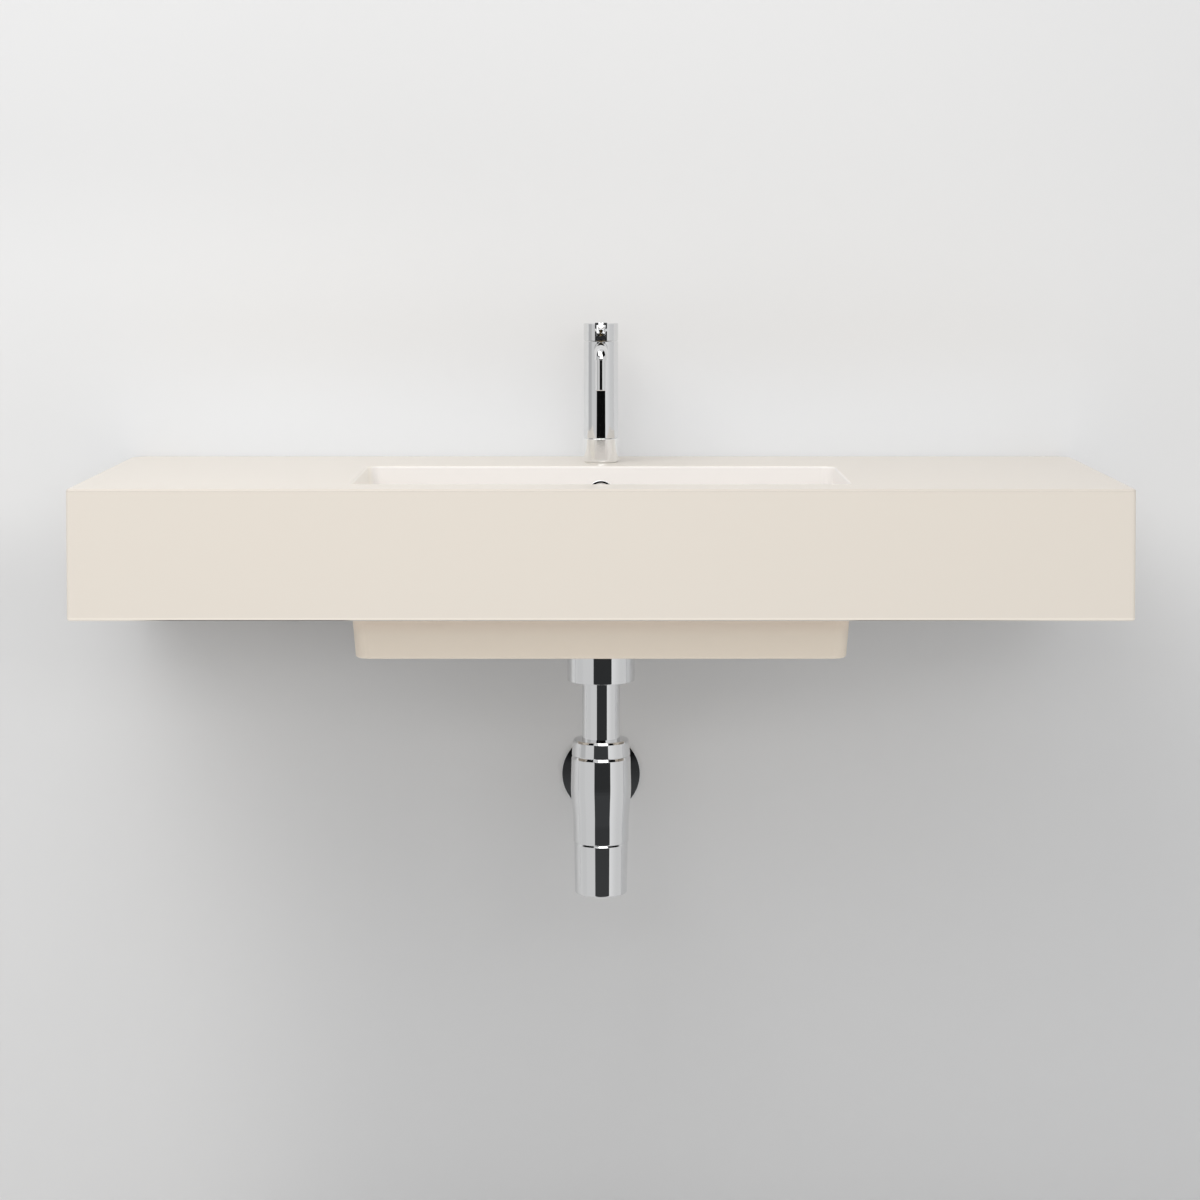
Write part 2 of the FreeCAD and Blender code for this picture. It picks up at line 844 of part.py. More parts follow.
def make_wall_fixings():
    """Studs, bushes, washers and nuts, one of each on both sides of the middle."""
    aside = "stud_spacing / 2"
    studs = new_body("wall_studs")
    plan = sketch_on(studs, "XY_Plane", "profile")
    inner = f"{aside} + stud_thread_radius"
    outer = f"{aside} + stud_radius"
    draw_outline(
        plan,
        [
            (aside, "-stud_end"),
            (inner, "-stud_end"),
            (inner, "0"),
            (outer, "0"),
            (outer, "stud_in_wall - stud_point"),
            (f"{aside} + stud_tip_radius", "stud_in_wall"),
            (aside, "stud_in_wall"),
        ],
    )
    line = Part.LineSegment(V(value(aside), -1, 0), V(value(aside), 1, 0))
    axis = plan.addGeometry(line, True)
    hold(plan, axis, 1, aside, "-stud_end")
    hold(plan, axis, 2, aside, "stud_in_wall")
    both_sides(studs, [turn(studs, plan, "turned", axis="Axis0")])
    for label, start, end, radius, hole in (
        ("stud_bushes", "0", "wall_thick", "fixing_hole_radius - bush_gap", "bush_inner"),
        ("stud_washers", "bush_low", "nut_start", "washer_radius", "bush_inner"),
    ):
        body = new_body(label)
        ring = sketch_on(body, "XZ_Plane", "ring", start)
        draw_circle(ring, radius, aside)
        draw_circle(ring, hole, aside)
        made = [extrude(body, ring, "ring_pad", "Pad", f"{end} - ({start})")]
        if label == "stud_bushes":
            flange = sketch_on(body, "XZ_Plane", "flange", "wall_thick")
            draw_circle(flange, "bush_flange_radius", aside)
            draw_circle(flange, hole, aside)
            made.append(extrude(body, flange, "flange_pad", "Pad", "bush_flange_thick"))
        both_sides(body, made)
    nuts = new_body("stud_nuts")
    hexagon = sketch_on(nuts, "XZ_Plane", "hexagon", "nut_start")
    draw_hexagon(hexagon, "nut_across", aside)
    draw_circle(hexagon, "stud_thread_radius + thread_gap", aside)
    both_sides(nuts, [extrude(nuts, hexagon, "hexagon_pad", "Pad", "nut_thick")])


def make_waste_body():
    """Flange, slotted and threaded tail, and the spider that carries the click cartridge."""
    body = drain_frame("waste_body")
    turned(
        body,
        [
            ("tail_bore_radius", "-tail_depth"),
            ("tail_radius", "-tail_depth"),
            ("tail_radius", "-flange_low"),
            ("flange_radius", "-flange_low"),
            ("flange_radius", "-flange_top"),
            ("funnel_radius", "-flange_top"),
            ("tail_bore_radius", "-funnel_low"),
        ],
    )
    soften(body, "flange_edge", "flange_bevel", ring_at("flange_radius", "-flange_top"), "Chamfer")
    cross = sketch_on(body, "XY_Plane", "cross_plan", "-spider_depth - spider_thick")
    reach = "tail_bore_radius + spider_bite"
    bar = "spider_bar / 2"
    quarter = [(reach, bar), (bar, bar), (bar, reach)]
    corners = list(quarter)
    corners += [(f"-({x})", y) for x, y in reversed(quarter)]
    corners += [(f"-({x})", f"-({y})") for x, y in quarter]
    corners += [(x, f"-({y})") for x, y in reversed(quarter)]
    extrude(body, draw_outline(cross, corners), "cross", "Pad", "spider_thick")
    hub = sketch_on(body, "XY_Plane", "hub_plan", "-spider_depth - spider_thick")
    extrude(body, draw_circle(hub, "spider_hub_radius"), "hub", "Pad", "spider_thick")
    hole = sketch_on(body, "XY_Plane", "hub_circle", "overrun - spider_depth")
    draw_circle(hole, "spider_hole_radius")
    extrude(body, hole, "hub_hole", "Pocket", "spider_thick + 2 * overrun")
    slot = draw_box(
        sketch_on(body, "XZ_Plane", "slot_side", "tail_bore_radius - overrun"),
        "-slot_width / 2",
        "slot_width / 2",
        "-channel_low",
        "channel_high - channel_low",
    )
    through = "tail_radius - tail_bore_radius + 2 * overrun"
    cut = extrude(body, slot, "slot", "Pocket", through, backwards=True)
    around(body, cut, "slots", "slot_count")


def make_waste_seals():
    tube(drain_frame("waste_top_seal"), "waste_seal_inner", "flange_radius", "-recess_depth", "-flange_low")
    tube(
        drain_frame("waste_bottom_seal"),
        "tail_radius + slide_gap",
        "under_seal_radius",
        "-backnut_top",
        "-base_depth",
    )


def make_waste_backnut():
    """A round nut with six flats, screwed up against the lower seal."""
    body = drain_frame("waste_backnut")
    low = "-backnut_top - backnut_thick"
    tube(body, "tail_radius + thread_gap", "backnut_radius", low, "-backnut_top")
    flat = draw_box(
        sketch_on(body, "XY_Plane", "flat_plan", low),
        "backnut_radius * backnut_flat_share",
        "backnut_radius + overrun",
        "-backnut_radius",
        "backnut_radius",
    )
    cut = extrude(body, flat, "flat", "Pocket", "backnut_thick - flange_bevel", backwards=True)
    around(body, cut, "flats", "backnut_flat_count")


def make_plug():
    """The click cartridge on the spider, the domed plug and the seal under it."""
    turned(
        drain_frame("plug_cartridge"),
        [
            ("0", "-spider_depth - spider_thick"),
            ("spider_hole_radius - thread_gap", "-spider_depth - spider_thick"),
            ("spider_hole_radius - thread_gap", "-spider_depth"),
            ("click_radius", "-spider_depth"),
            ("click_radius", "-click_depth"),
            ("click_bore_radius", "-click_depth"),
            ("click_bore_radius", "-click_depth - click_bore_deep"),
            ("0", "-click_depth - click_bore_deep"),
        ],
    )
    turned(
        drain_frame("waste_plug"),
        [
            ("0", "-plug_stem_deep"),
            ("plug_stem_radius", "-plug_stem_deep"),
            ("plug_stem_radius", "-funnel_low"),
            ("plug_boss_radius", "-funnel_low"),
            ("plug_boss_radius", "-plug_low"),
            ("plug_radius", "-plug_low"),
            ("plug_radius", "plug_rim - plug_low"),
            ("crown_outer_radius", "crown_outer_high - plug_low"),
            ("crown_inner_radius", "crown_inner_high - plug_low"),
            ("0", "plug_crown - plug_low"),
        ],
    )
    turned(
        drain_frame("plug_seal"),
        [
            ("plug_boss_radius", "-funnel_low"),
            ("tail_bore_radius - plug_seal_slack", "-funnel_low"),
            ("funnel_radius - plug_seal_slack", "-flange_top"),
            ("funnel_radius - plug_seal_slack", "-plug_low"),
            ("plug_boss_radius", "-plug_low"),
        ],
    )


def make_union():
    """Flat seal, inlet pipe with its flange, and the nut that pulls it up to the waste."""
    tube(drain_frame("inlet_seal"), "pipe_bore", "pipe_flange_radius", "-pipe_top", "-tail_depth")
    turned(
        drain_frame("inlet_pipe"),
        [
            ("pipe_bore", "-dip_depth"),
            ("pipe_radius", "-dip_depth"),
            ("pipe_radius", "-union_shoulder"),
            ("pipe_flange_radius", "-union_shoulder"),
            ("pipe_flange_radius", "-pipe_top"),
            ("pipe_bore", "-pipe_top"),
        ],
    )
    nut = drain_frame("inlet_nut")
    turned(
        nut,
        [
            ("pipe_hole_radius", "-union_bottom"),
            ("union_radius", "-union_bottom"),
            ("union_radius", "-union_top_depth"),
            ("tail_radius + thread_gap", "-union_top_depth"),
            ("tail_radius + thread_gap", "-union_shoulder"),
            ("pipe_hole_radius", "-union_shoulder"),
        ],
    )
    grip = sketch_on(nut, "XY_Plane", "grip_plan", "overrun - union_top_depth")
    draw_circle(grip, "union_grip_radius", "union_radius + union_grip_radius / 2")
    cut = extrude(nut, grip, "grip", "Pocket", "union_bottom - union_top_depth + 2 * overrun")
    around(nut, cut, "grips", "union_grip_count")


def make_covers():
    """The wide collar under the bowl, its friction ring and the slim sleeve below it."""
    collar = drain_frame("cover_collar")
    inner = "collar_radius - collar_wall"
    lip = "collar_wall - collar_bottom_depth"
    turned(
        collar,
        [
            ("sleeve_radius + slide_gap", "-collar_bottom_depth"),
            ("collar_radius", "-collar_bottom_depth"),
            ("collar_radius", "-base_depth"),
            (inner, "-base_depth"),
            (inner, lip),
            ("sleeve_radius + slide_gap", lip),
        ],
    )
    soften(collar, "foot_edge", "collar_bevel", ring_at("collar_radius", "-collar_bottom_depth"), "Chamfer")
    ring = drain_frame("collar_ring")
    inside = "sleeve_radius + thread_gap"
    tube(ring, inside, f"{inside} + collar_ring_section", lip, f"{lip} + collar_ring_section")
    tube(
        drain_frame("cover_sleeve"),
        "sleeve_radius - sleeve_wall",
        "sleeve_radius",
        "-head_top_depth",
        "-sleeve_top_depth",
    )


def make_trap_head():
    """The flared nut on top of the trap and the seal that it presses round the pipe."""
    head = drain_frame("trap_head")
    under = "-head_top_depth - head_plate"
    turned(
        head,
        [
            ("pipe_hole_radius", under),
            ("pipe_hole_radius", "-head_top_depth"),
            ("head_top_radius", "-head_top_depth"),
            ("head_bottom_radius", "-head_bottom_depth"),
            ("neck_radius + thread_gap", "-head_bottom_depth"),
            ("neck_radius + thread_gap", under),
        ],
    )
    soften(head, "top_edge", "head_bevel", ring_at("head_top_radius", "-head_top_depth"), "Chamfer")
    tube(drain_frame("trap_head_seal"), "pipe_radius + thread_gap", "neck_radius", "-neck_top", under)


def make_trap_body():
    """The bottle: neck, shoulder, belly, waist, the bore inside and the socket towards the wall."""
    body = drain_frame("trap_body")
    outside = [
        ("0", "-trap_bottom_depth"),
        ("trap_bottom_radius", "-trap_bottom_depth"),
        ("waist_radius", "-waist_depth"),
        ("belly_radius", "-belly_depth"),
        ("shoulder_radius", "-head_bottom_depth"),
        ("neck_radius", "-head_bottom_depth"),
        ("neck_radius", "-neck_top"),
        ("0", "-neck_top"),
    ]
    turned(body, outside)
    socket = sketch_on(body, "XZ_Plane", "socket_circle")
    draw_circle(socket, "outlet_socket_radius", "0", "-outlet_depth")
    extrude(body, socket, "socket", "Pad", "outlet_socket_long", backwards=True)
    bore = sketch_on(body, "XZ_Plane", "bore_profile")
    ceiling = "-head_bottom_depth - trap_top_wall"
    draw_outline(
        bore,
        [
            ("0", "-trap_bottom_depth - overrun"),
            ("trap_bore_radius", "-trap_bottom_depth - overrun"),
            ("trap_bore_radius", ceiling),
            ("neck_bore_radius", ceiling),
            ("neck_bore_radius", "overrun - neck_top"),
            ("0", "overrun - neck_top"),
        ],
    )
    turn(body, bore, "bore", "Groove")
    way = sketch_on(body, "XZ_Plane", "outlet_circle")
    draw_circle(way, "outlet_inner_radius + seat_gap", "0", "-outlet_depth")
    extrude(body, way, "outlet_bore", "Pocket", "outlet_socket_long + overrun")


def make_trap_cup():
    """The cup that unscrews from below, and the ring that seals its spigot."""
    cup = drain_frame("trap_cup")
    top = "-trap_bottom_depth"
    spigot = "trap_bore_radius - thread_gap"
    rise = "cup_spigot_high - trap_bottom_depth"
    turned(
        cup,
        [
            ("0", "-cup_bottom_depth"),
            ("cup_base_radius", "-cup_bottom_depth"),
            ("cup_radius", "-trap_bottom_depth - cup_step"),
            ("cup_radius - cup_step / 2", top),
            (spigot, top),
            (spigot, rise),
            ("trap_bore_radius - cup_wall", rise),
            ("trap_bore_radius - cup_wall", "cup_floor - cup_bottom_depth"),
            ("0", "cup_floor - cup_bottom_depth"),
        ],
    )
    soften(cup, "foot_edge", "cup_bevel", ring_at("cup_base_radius", "-cup_bottom_depth"), "Chamfer")
    ring = "trap_bore_radius - thread_gap"
    inner = f"{ring} - cup_seal_section"
    tube(drain_frame("trap_cup_seal"), inner, ring, rise, f"{rise} + cup_seal_section")


def make_outlet():
    """Pipe into the wall, its seal and nut on the socket, and the cover plate on the wall."""
    end = "drain_back + outlet_in_wall"
    turned_along_y(
        outlet_frame("outlet_pipe"),
        [
            ("outlet_pipe_start", "pipe_bore"),
            (end, "pipe_bore"),
            (end, "pipe_radius"),
            ("drain_back", "pipe_radius"),
            ("drain_back", "outlet_inner_radius"),
            ("outlet_pipe_start", "outlet_inner_radius"),
        ],
    )
    tube_along_y(
        outlet_frame("outlet_seal"),
        "outlet_inner_radius + thread_gap",
        "outlet_socket_radius",
        "outlet_socket_long",
        "outlet_seal_end",
    )
    nut_start = "outlet_nut_end - outlet_nut_long"
    turned_along_y(
        outlet_frame("outlet_nut"),
        [
            (nut_start, "outlet_socket_radius + thread_gap"),
            ("outlet_seal_end", "outlet_socket_radius + thread_gap"),
            ("outlet_seal_end", "outlet_inner_radius + seat_gap"),
            ("outlet_nut_end", "outlet_inner_radius + seat_gap"),
            ("outlet_nut_end", "outlet_nut_radius"),
            (nut_start, "outlet_nut_radius"),
        ],
    )
    front = "drain_back - rosette_deep"
    hole = "outlet_inner_radius + slide_gap"
    neck = "pipe_radius + rosette_neck"
    turned_along_y(
        outlet_frame("wall_rosette"),
        [
            ("drain_back", "rosette_radius"),
            ("drain_back - rosette_edge", "rosette_radius"),
            ("drain_back - rosette_rise", "rosette_shoulder_radius"),
            (front, neck),
            (front, hole),
            (f"{front} + rosette_wall", hole),
            (f"{front} + rosette_wall", neck),
            ("drain_back - rosette_rise + rosette_wall", "rosette_shoulder_radius - rosette_wall"),
            ("drain_back", "rosette_radius - rosette_wall"),
        ],
    )


def make_tap_base():
    """The separate foot ring of the column and the seal under it."""
    tube(tap_frame("tap_base_seal"), "foot_seal_inner", "foot_seal_radius", "0", "foot_seal_thick")
    base = tap_frame("tap_base")
    tube(base, "base_bore_radius", "column_radius", "foot_seal_thick", "base_high")
    soften(base, "seam_bevel", "seam_chamfer", ring_at("column_radius", "base_high"), "Chamfer")


def make_tap_body():
    """The column: spigot through the ledge, seat of the cartridge, waterways and spout socket."""
    body = tap_frame("tap_body")
    turned(
        body,
        [
            ("0", "inlet_mouth"),
            ("foot_bore_radius", "inlet_mouth"),
            ("foot_bore_radius", "-spigot_deep"),
            ("spigot_radius", "-spigot_deep"),
            ("spigot_radius", "base_high"),
            ("column_radius", "base_high"),
            ("column_radius", "column_top"),
            ("cartridge_thread_radius", "column_top"),
            ("cartridge_thread_radius", "cartridge_shoulder"),
            ("cartridge_bore_radius", "cartridge_shoulder"),
            ("cartridge_bore_radius", "cartridge_seat"),
            ("0", "cartridge_seat"),
        ],
    )
    soften(body, "seam_bevel", "seam_chamfer", ring_at("column_radius", "base_high"), "Chamfer")
    soften(body, "top_bevel", "column_chamfer", ring_at("column_radius", "column_top"), "Chamfer")
    threads = sketch_on(body, "XY_Plane", "inlet_circles", "inlet_mouth - overrun")
    for side in ("-", ""):
        draw_circle(threads, "inlet_radius", f"{side}inlet_aside", "inlet_back")
    extrude(body, threads, "inlets", "Pocket", "inlet_long + overrun", backwards=True)
    feeds = sketch_on(body, "XY_Plane", "feed_circles", "inlet_mouth + inlet_long")
    for side in ("-", ""):
        draw_circle(feeds, "feed_radius", f"{side}inlet_aside", "inlet_back")
    rise_of_feeds = "cartridge_seat - inlet_mouth - inlet_long"
    extrude(body, feeds, "feeds", "Pocket", rise_of_feeds, backwards=True)
    stud = sketch_on(body, "XY_Plane", "stud_circle", "inlet_mouth - overrun")
    draw_circle(stud, "tap_stud_radius + thread_gap", "0", "-tap_stud_aside")
    extrude(body, stud, "stud_hole", "Pocket", "tap_stud_grip + overrun + seat_gap", backwards=True)
    seat = sketch_on(body, "XZ_Plane", "spout_seat", "spout_root")
    draw_circle(seat, "spout_radius + spout_root_gap", "0", "spout_height")
    extrude(body, seat, "spout_spotface", "Pocket", "column_radius - spout_root + overrun", backwards=True)
    socket = sketch_on(body, "XZ_Plane", "spout_socket", "spout_root - spout_stub_long - seat_gap")
    draw_circle(socket, "spout_stub_radius + thread_gap", "0", "spout_height")
    extrude(body, socket, "spout_hole", "Pocket", "spout_stub_long + overrun", backwards=True)
    port = sketch_on(body, "XY_Plane", "mix_port_circle", "mix_port_low")
    draw_circle(port, "mix_port_radius", "0", "-mix_port_forward")
    extrude(body, port, "mix_port", "Pocket", "mix_port_deep", backwards=True)
    middle = "(mix_port_low + cartridge_seat) / 2"
    rise = sketch_on(body, "XY_Plane", "rise_circle", middle)
    draw_circle(rise, "waterway_radius", "0", "-waterway_forward")
    extrude(body, rise, "rise", "Pocket", f"spout_height - {middle}", backwards=True)
    cross = sketch_on(body, "XZ_Plane", "cross_circle", "mix_port_forward")
    draw_circle(cross, "waterway_radius", "0", middle)
    extrude(body, cross, "cross", "Pocket", "waterway_forward - mix_port_forward", backwards=True)


def spout_path(body):
    """Out of the column, round one bend and down to the nozzle."""
    path = sketch_on(body, "YZ_Plane", "path")
    root = V(-value("spout_root"), value("spout_height"), 0)
    turn_in = V(-value("spout_reach - spout_bend"), value("spout_height"), 0)
    turn_out = V(-value("spout_reach"), value("spout_drop"), 0)
    middle = V(turn_in.x, turn_out.y, 0)
    path.addGeometry(Part.LineSegment(root, turn_in), False)
    circle = Part.Circle(middle, V(0, 0, 1), value("spout_bend"))
    path.addGeometry(Part.ArcOfCircle(circle, math.pi / 2, math.pi), False)
    hold(path, 0, 1, "-spout_root", "spout_height")
    hold(path, 0, 2, "spout_bend - spout_reach", "spout_height")
    hold(path, 1, 3, "spout_bend - spout_reach", "spout_drop")
    path.addConstraint(Sketcher.Constraint("Coincident", 0, 2, 1, 1))
    hold(path, 1, 2, None, "spout_drop")
    return path


def make_spout():
    """A slim tube with one tight bend, and a stub that goes into the column."""
    body = tap_frame("spout")
    path = spout_path(body)
    section = sketch_on(body, "XZ_Plane", "tube_section", "spout_root")
    draw_circle(section, "spout_radius", "0", "spout_height")
    pipe = body.newObject("PartDesign::AdditivePipe", "spout_tube")
    pipe.Profile = section
    pipe.Spine = (path, [])
    stub = sketch_on(body, "XZ_Plane", "stub_circle", "spout_root - spout_stub_long")
    draw_circle(stub, "spout_stub_radius", "0", "spout_height")
    extrude(body, stub, "stub", "Pad", "spout_stub_long")
    doc.recompute()
    level = draw_circle(
        sketch_on(body, "XZ_Plane", "bore_circle", "spout_root - spout_stub_long - overrun"),
        "spout_way_radius",
        "0",
        "spout_height",
    )
    inside = "spout_reach - spout_root + spout_stub_long + overrun"
    extrude(body, level, "bore", "Pocket", inside, backwards=True)
    down = sketch_on(body, "XY_Plane", "down_circle", "spout_drop - overrun")
    draw_circle(down, "spout_bore_radius", "0", "-spout_reach")
    extrude(body, down, "down_bore", "Pocket", "nozzle_spigot_long + overrun + seat_gap", backwards=True)


def make_nozzle():
    """The narrower outlet below the bend, and its perforated insert."""
    place = {"back": "-tap_back - spout_reach", "height": "stud_drop"}
    seat = "nozzle_bottom + insert_lift + insert_thick"
    housing = new_body("aerator_housing", **place)
    turned(
        housing,
        [
            ("nozzle_bore_radius", "nozzle_bottom"),
            ("nozzle_radius", "nozzle_bottom"),
            ("nozzle_radius", "spout_drop"),
            ("nozzle_spigot_radius", "spout_drop"),
            ("nozzle_spigot_radius", "spout_drop + nozzle_spigot_long"),
            ("nozzle_throat_radius", "spout_drop + nozzle_spigot_long"),
            ("nozzle_throat_radius", seat),
            ("nozzle_bore_radius", seat),
        ],
    )
    soften(housing, "mouth_edge", "nozzle_bevel", ring_at("nozzle_radius", "nozzle_bottom"), "Chamfer")
    insert = new_body("aerator_insert", **place)
    low = "nozzle_bottom + insert_lift"
    disc = draw_circle(sketch_on(insert, "XY_Plane", "disc_plan", low), "insert_radius")
    draw_circle(disc, "insert_hole_radius")
    extrude(insert, disc, "disc", "Pad", "insert_thick")
    hole = sketch_on(insert, "XY_Plane", "hole_plan", f"{low} - overrun")
    draw_circle(hole, "insert_hole_radius", "insert_ring_radius")
    cut = extrude(insert, hole, "hole", "Pocket", "insert_thick + 2 * overrun", backwards=True)
    around(insert, cut, "holes", "insert_hole_count")


def make_cartridge():
    """The mixing cartridge, the nut that holds it and the stem that the handle turns."""
    bore = "stem_radius + stem_clearance"
    bottom = "stem_bottom - seat_gap"
    turned(
        tap_frame("tap_cartridge"),
        [
            ("0", "cartridge_seat"),
            ("cartridge_radius", "cartridge_seat"),
            ("cartridge_radius", "cartridge_shoulder"),
            ("cartridge_boss_radius", "cartridge_shoulder"),
            ("cartridge_boss_radius", "cartridge_top"),
            (bore, "cartridge_top"),
            (bore, bottom),
            ("0", bottom),
        ],
    )
    tube(
        tap_frame("cartridge_nut"),
        "cartridge_boss_radius + cartridge_gap",
        "cartridge_nut_radius",
        "cartridge_shoulder",
        "cartridge_nut_top",
    )
    stem = tap_frame("cartridge_stem")
    turned(
        stem,
        [("0", "stem_bottom"), ("stem_radius", "stem_bottom"), ("stem_radius", "stem_top"), ("0", "stem_top")],
    )
    soften(stem, "top_bevel", "column_chamfer", ring_at("stem_radius", "stem_top"), "Chamfer")


def make_handle():
    """The carrier on the stem, the slotted cap over it and the grub screw between them."""
    carrier = tap_frame("handle_carrier")
    tube(carrier, "stem_radius + carrier_gap", "carrier_radius", "carrier_low", "carrier_top")
    cap = tap_frame("handle_cap")
    inside = "carrier_radius + carrier_gap"
    turned(
        cap,
        [
            (inside, "cap_low"),
            ("column_radius", "cap_low"),
            ("column_radius", "cap_top"),
            ("0", "cap_top"),
            ("0", "cap_seat"),
            (inside, "cap_seat"),
        ],
    )
    soften(cap, "top_edge", "cap_bevel", ring_at("column_radius", "cap_top"), "Chamfer")
    soften(cap, "foot_bevel", "column_chamfer", ring_at("column_radius", "cap_low"), "Chamfer")
    slot = sketch_on(cap, "YZ_Plane", "slot_side", "-cap_slot / 2")
    draw_outline(
        slot,
        [
            ("-column_radius - overrun", "cap_low - overrun"),
            (f"-({inside})", "cap_low - overrun"),
            (f"-({inside})", "slot_floor"),
            ("cap_slot_back", "slot_floor"),
            ("cap_slot_back", "cap_top + overrun"),
            ("-column_radius - overrun", "cap_top + overrun"),
        ],
    )
    extrude(cap, slot, "slot", "Pocket", "cap_slot", backwards=True)
    hole = sketch_on(cap, "XY_Plane", "stem_circle", "slot_floor + overrun")
    draw_circle(hole, "stem_radius + seat_gap")
    extrude(cap, hole, "stem_hole", "Pocket", "cap_floor + 2 * overrun")
    pivot = sketch_on(cap, "YZ_Plane", "pivot_circle", "-cap_slot / 2 - pivot_bite")
    draw_circle(pivot, "pivot_radius + thread_gap", "0", "lever_pivot_height")
    extrude(cap, pivot, "pivot_holes", "Pocket", "cap_slot + 2 * pivot_bite", backwards=True)
    grub = sketch_on(cap, "XZ_Plane", "grub_circle", "-column_radius - overrun")
    height = "(carrier_low + carrier_top) / 2"
    draw_circle(grub, "grub_radius + thread_gap", "0", height)
    extrude(cap, grub, "grub_hole", "Pocket", "column_radius + overrun - carrier_radius", backwards=True)
    screw = tap_frame("carrier_screw")
    plan = sketch_on(screw, "XZ_Plane", "plan", "grub_inset - column_radius")
    draw_circle(plan, "grub_radius", "0", height)
    extrude(screw, plan, "shank", "Pad", "column_radius - grub_inset - carrier_radius - thread_gap")
    socket = sketch_on(screw, "XZ_Plane", "socket", "grub_inset - column_radius")
    draw_hexagon(socket, "grub_radius", "0", height)
    extrude(screw, socket, "socket_cut", "Pocket", "grub_radius", backwards=True)


def make_lever():
    """The slim pin that tilts in the slot of the cap, and its pivot."""
    lever = tap_frame("lever_pin")
    bind(lever, "Placement.Base.z", "stud_drop + lever_pivot_height")
    rotate(lever, V(-1, 0, 0), "atan(lever_tilt_share)")
    turned_along_y(
        lever,
        [("-lever_reach", "0"), ("0", "0"), ("0", "lever_radius"), ("-lever_reach", "lever_radius")],
    )
    soften(lever, "tip_edge", "lever_round", lambda e: near(e.BoundBox.YMax, "-lever_reach"))
    hub = sketch_on(lever, "YZ_Plane", "hub_side", "-lever_hub_width / 2")
    extrude(lever, draw_circle(hub, "lever_hub_radius"), "hub", "Pad", "lever_hub_width")
    bore = sketch_on(lever, "YZ_Plane", "bore_side", "-lever_hub_width / 2 - overrun")
    draw_circle(bore, "pivot_radius + pivot_clearance")
    extrude(lever, bore, "bore", "Pocket", "lever_hub_width + 2 * overrun", backwards=True)
    pivot = tap_frame("lever_pivot")
    half = "cap_slot / 2 + pivot_bite - thread_gap"
    side = sketch_on(pivot, "YZ_Plane", "side", f"-({half})")
    draw_circle(side, "pivot_radius", "0", "lever_pivot_height")
    extrude(pivot, side, "shank", "Pad", f"2 * ({half})")


def make_tap_fixing():
    """Stud, rubber and steel horseshoes and the long nut, below the ledge."""
    stud = tap_frame("tap_stud")
    plan = sketch_on(stud, "XY_Plane", "plan", "-tap_stud_below")
    draw_circle(plan, "tap_stud_radius", "0", "-tap_stud_aside")
    extrude(stud, plan, "shank", "Pad", "tap_stud_below + inlet_mouth + tap_stud_grip")
    for label, low, thick in (
        ("tap_washer_rubber", "rubber_low", "rubber_thick"),
        ("tap_washer_plate", "plate_low", "plate_thick"),
    ):
        body = tap_frame(label)
        disc = sketch_on(body, "XY_Plane", "disc", f"-{low}")
        extrude(body, draw_circle(disc, "horseshoe_radius"), "pad", "Pad", thick)
        slot = draw_box(
            sketch_on(body, "XY_Plane", "slot", f"-{low} - overrun"),
            "-horseshoe_slot / 2",
            "horseshoe_slot / 2",
            "-horseshoe_slot_back",
            "horseshoe_radius + overrun",
        )
        extrude(body, slot, "slot_cut", "Pocket", f"{thick} + 2 * overrun", backwards=True)
        hole = sketch_on(body, "XY_Plane", "hole", f"-{low} - overrun")
        draw_circle(hole, "tap_stud_radius + seat_gap", "0", "-tap_stud_aside")
        extrude(body, hole, "hole_cut", "Pocket", f"{thick} + 2 * overrun", backwards=True)
    nut = tap_frame("tap_nut")
    plan = sketch_on(nut, "XY_Plane", "hexagon", "-plate_low - long_nut_long")
    draw_hexagon(plan, "long_nut_across", "0", "-tap_stud_aside")
    draw_circle(plan, "tap_stud_radius + thread_gap", "0", "-tap_stud_aside")
    extrude(nut, plan, "hexagon_pad", "Pad", "long_nut_long")


ADDS = ("Pad", "AdditiveLoft", "AdditivePipe")
CUTS = ("Pocket", "Groove", "SubtractiveLoft")


def check_everything():
    """Stops the build if anything failed, or if a cut or an addition changed nothing."""
    for thing in doc.Objects:
        if "Invalid" in thing.State or "Error" in thing.State:
            raise RuntimeError(f"{thing.Name} failed: {thing.State}")
        kind = thing.TypeId.split("::")[-1]
        base = getattr(thing, "BaseFeature", None)
        if kind in ADDS + CUTS and base is not None:
            gained = thing.Shape.Volume - base.Shape.Volume
            if (gained if kind in ADDS else -gained) <= NEAR:
                raise RuntimeError(f"{thing.Name} changed nothing: {gained:.3f} mm3")


def write_parts():
    """One file for each piece, named by its label."""
    os.makedirs("parts", exist_ok=True)
    for body in doc.Objects:
        if body.TypeId != "PartDesign::Body":
            continue
        shape = body.Shape
        if shape.isNull() or not shape.isValid() or not shape.Solids:
            raise RuntimeError(f"{body.Label} has no sound shape")
        shape.exportStep(f"parts/{body.Label}.step")
        print(f"{body.Label}: {len(shape.Solids)} solid, {shape.Volume / 1000:.2f} cm3")


def main():
    make_basin()
    make_overflow_ring()
    make_wall_fixings()
    make_waste_body()
    make_waste_seals()
    make_waste_backnut()
    make_plug()
    make_union()
    make_covers()
    make_trap_head()
    make_trap_body()
    make_trap_cup()
    make_outlet()
    make_tap_base()
    make_tap_body()
    make_spout()
    make_nozzle()
    make_cartridge()
    make_handle()
    make_lever()
    make_tap_fixing()
    doc.recompute()
    check_everything()
    write_parts()


main()
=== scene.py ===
"""Looks of the wall-hung washbasin: materials, fine shapes, room, light and camera.

The part's own frame: X to the right, the wall is the plane y = 0, Z is up.
Materials, room, lamps and camera are in metres. Fine shapes are in millimetres:
each outline is a list of (radius, height) or (radius, height, rounding).
"""

import json
import math

import bmesh
import bpy
from mathutils import Matrix, Vector


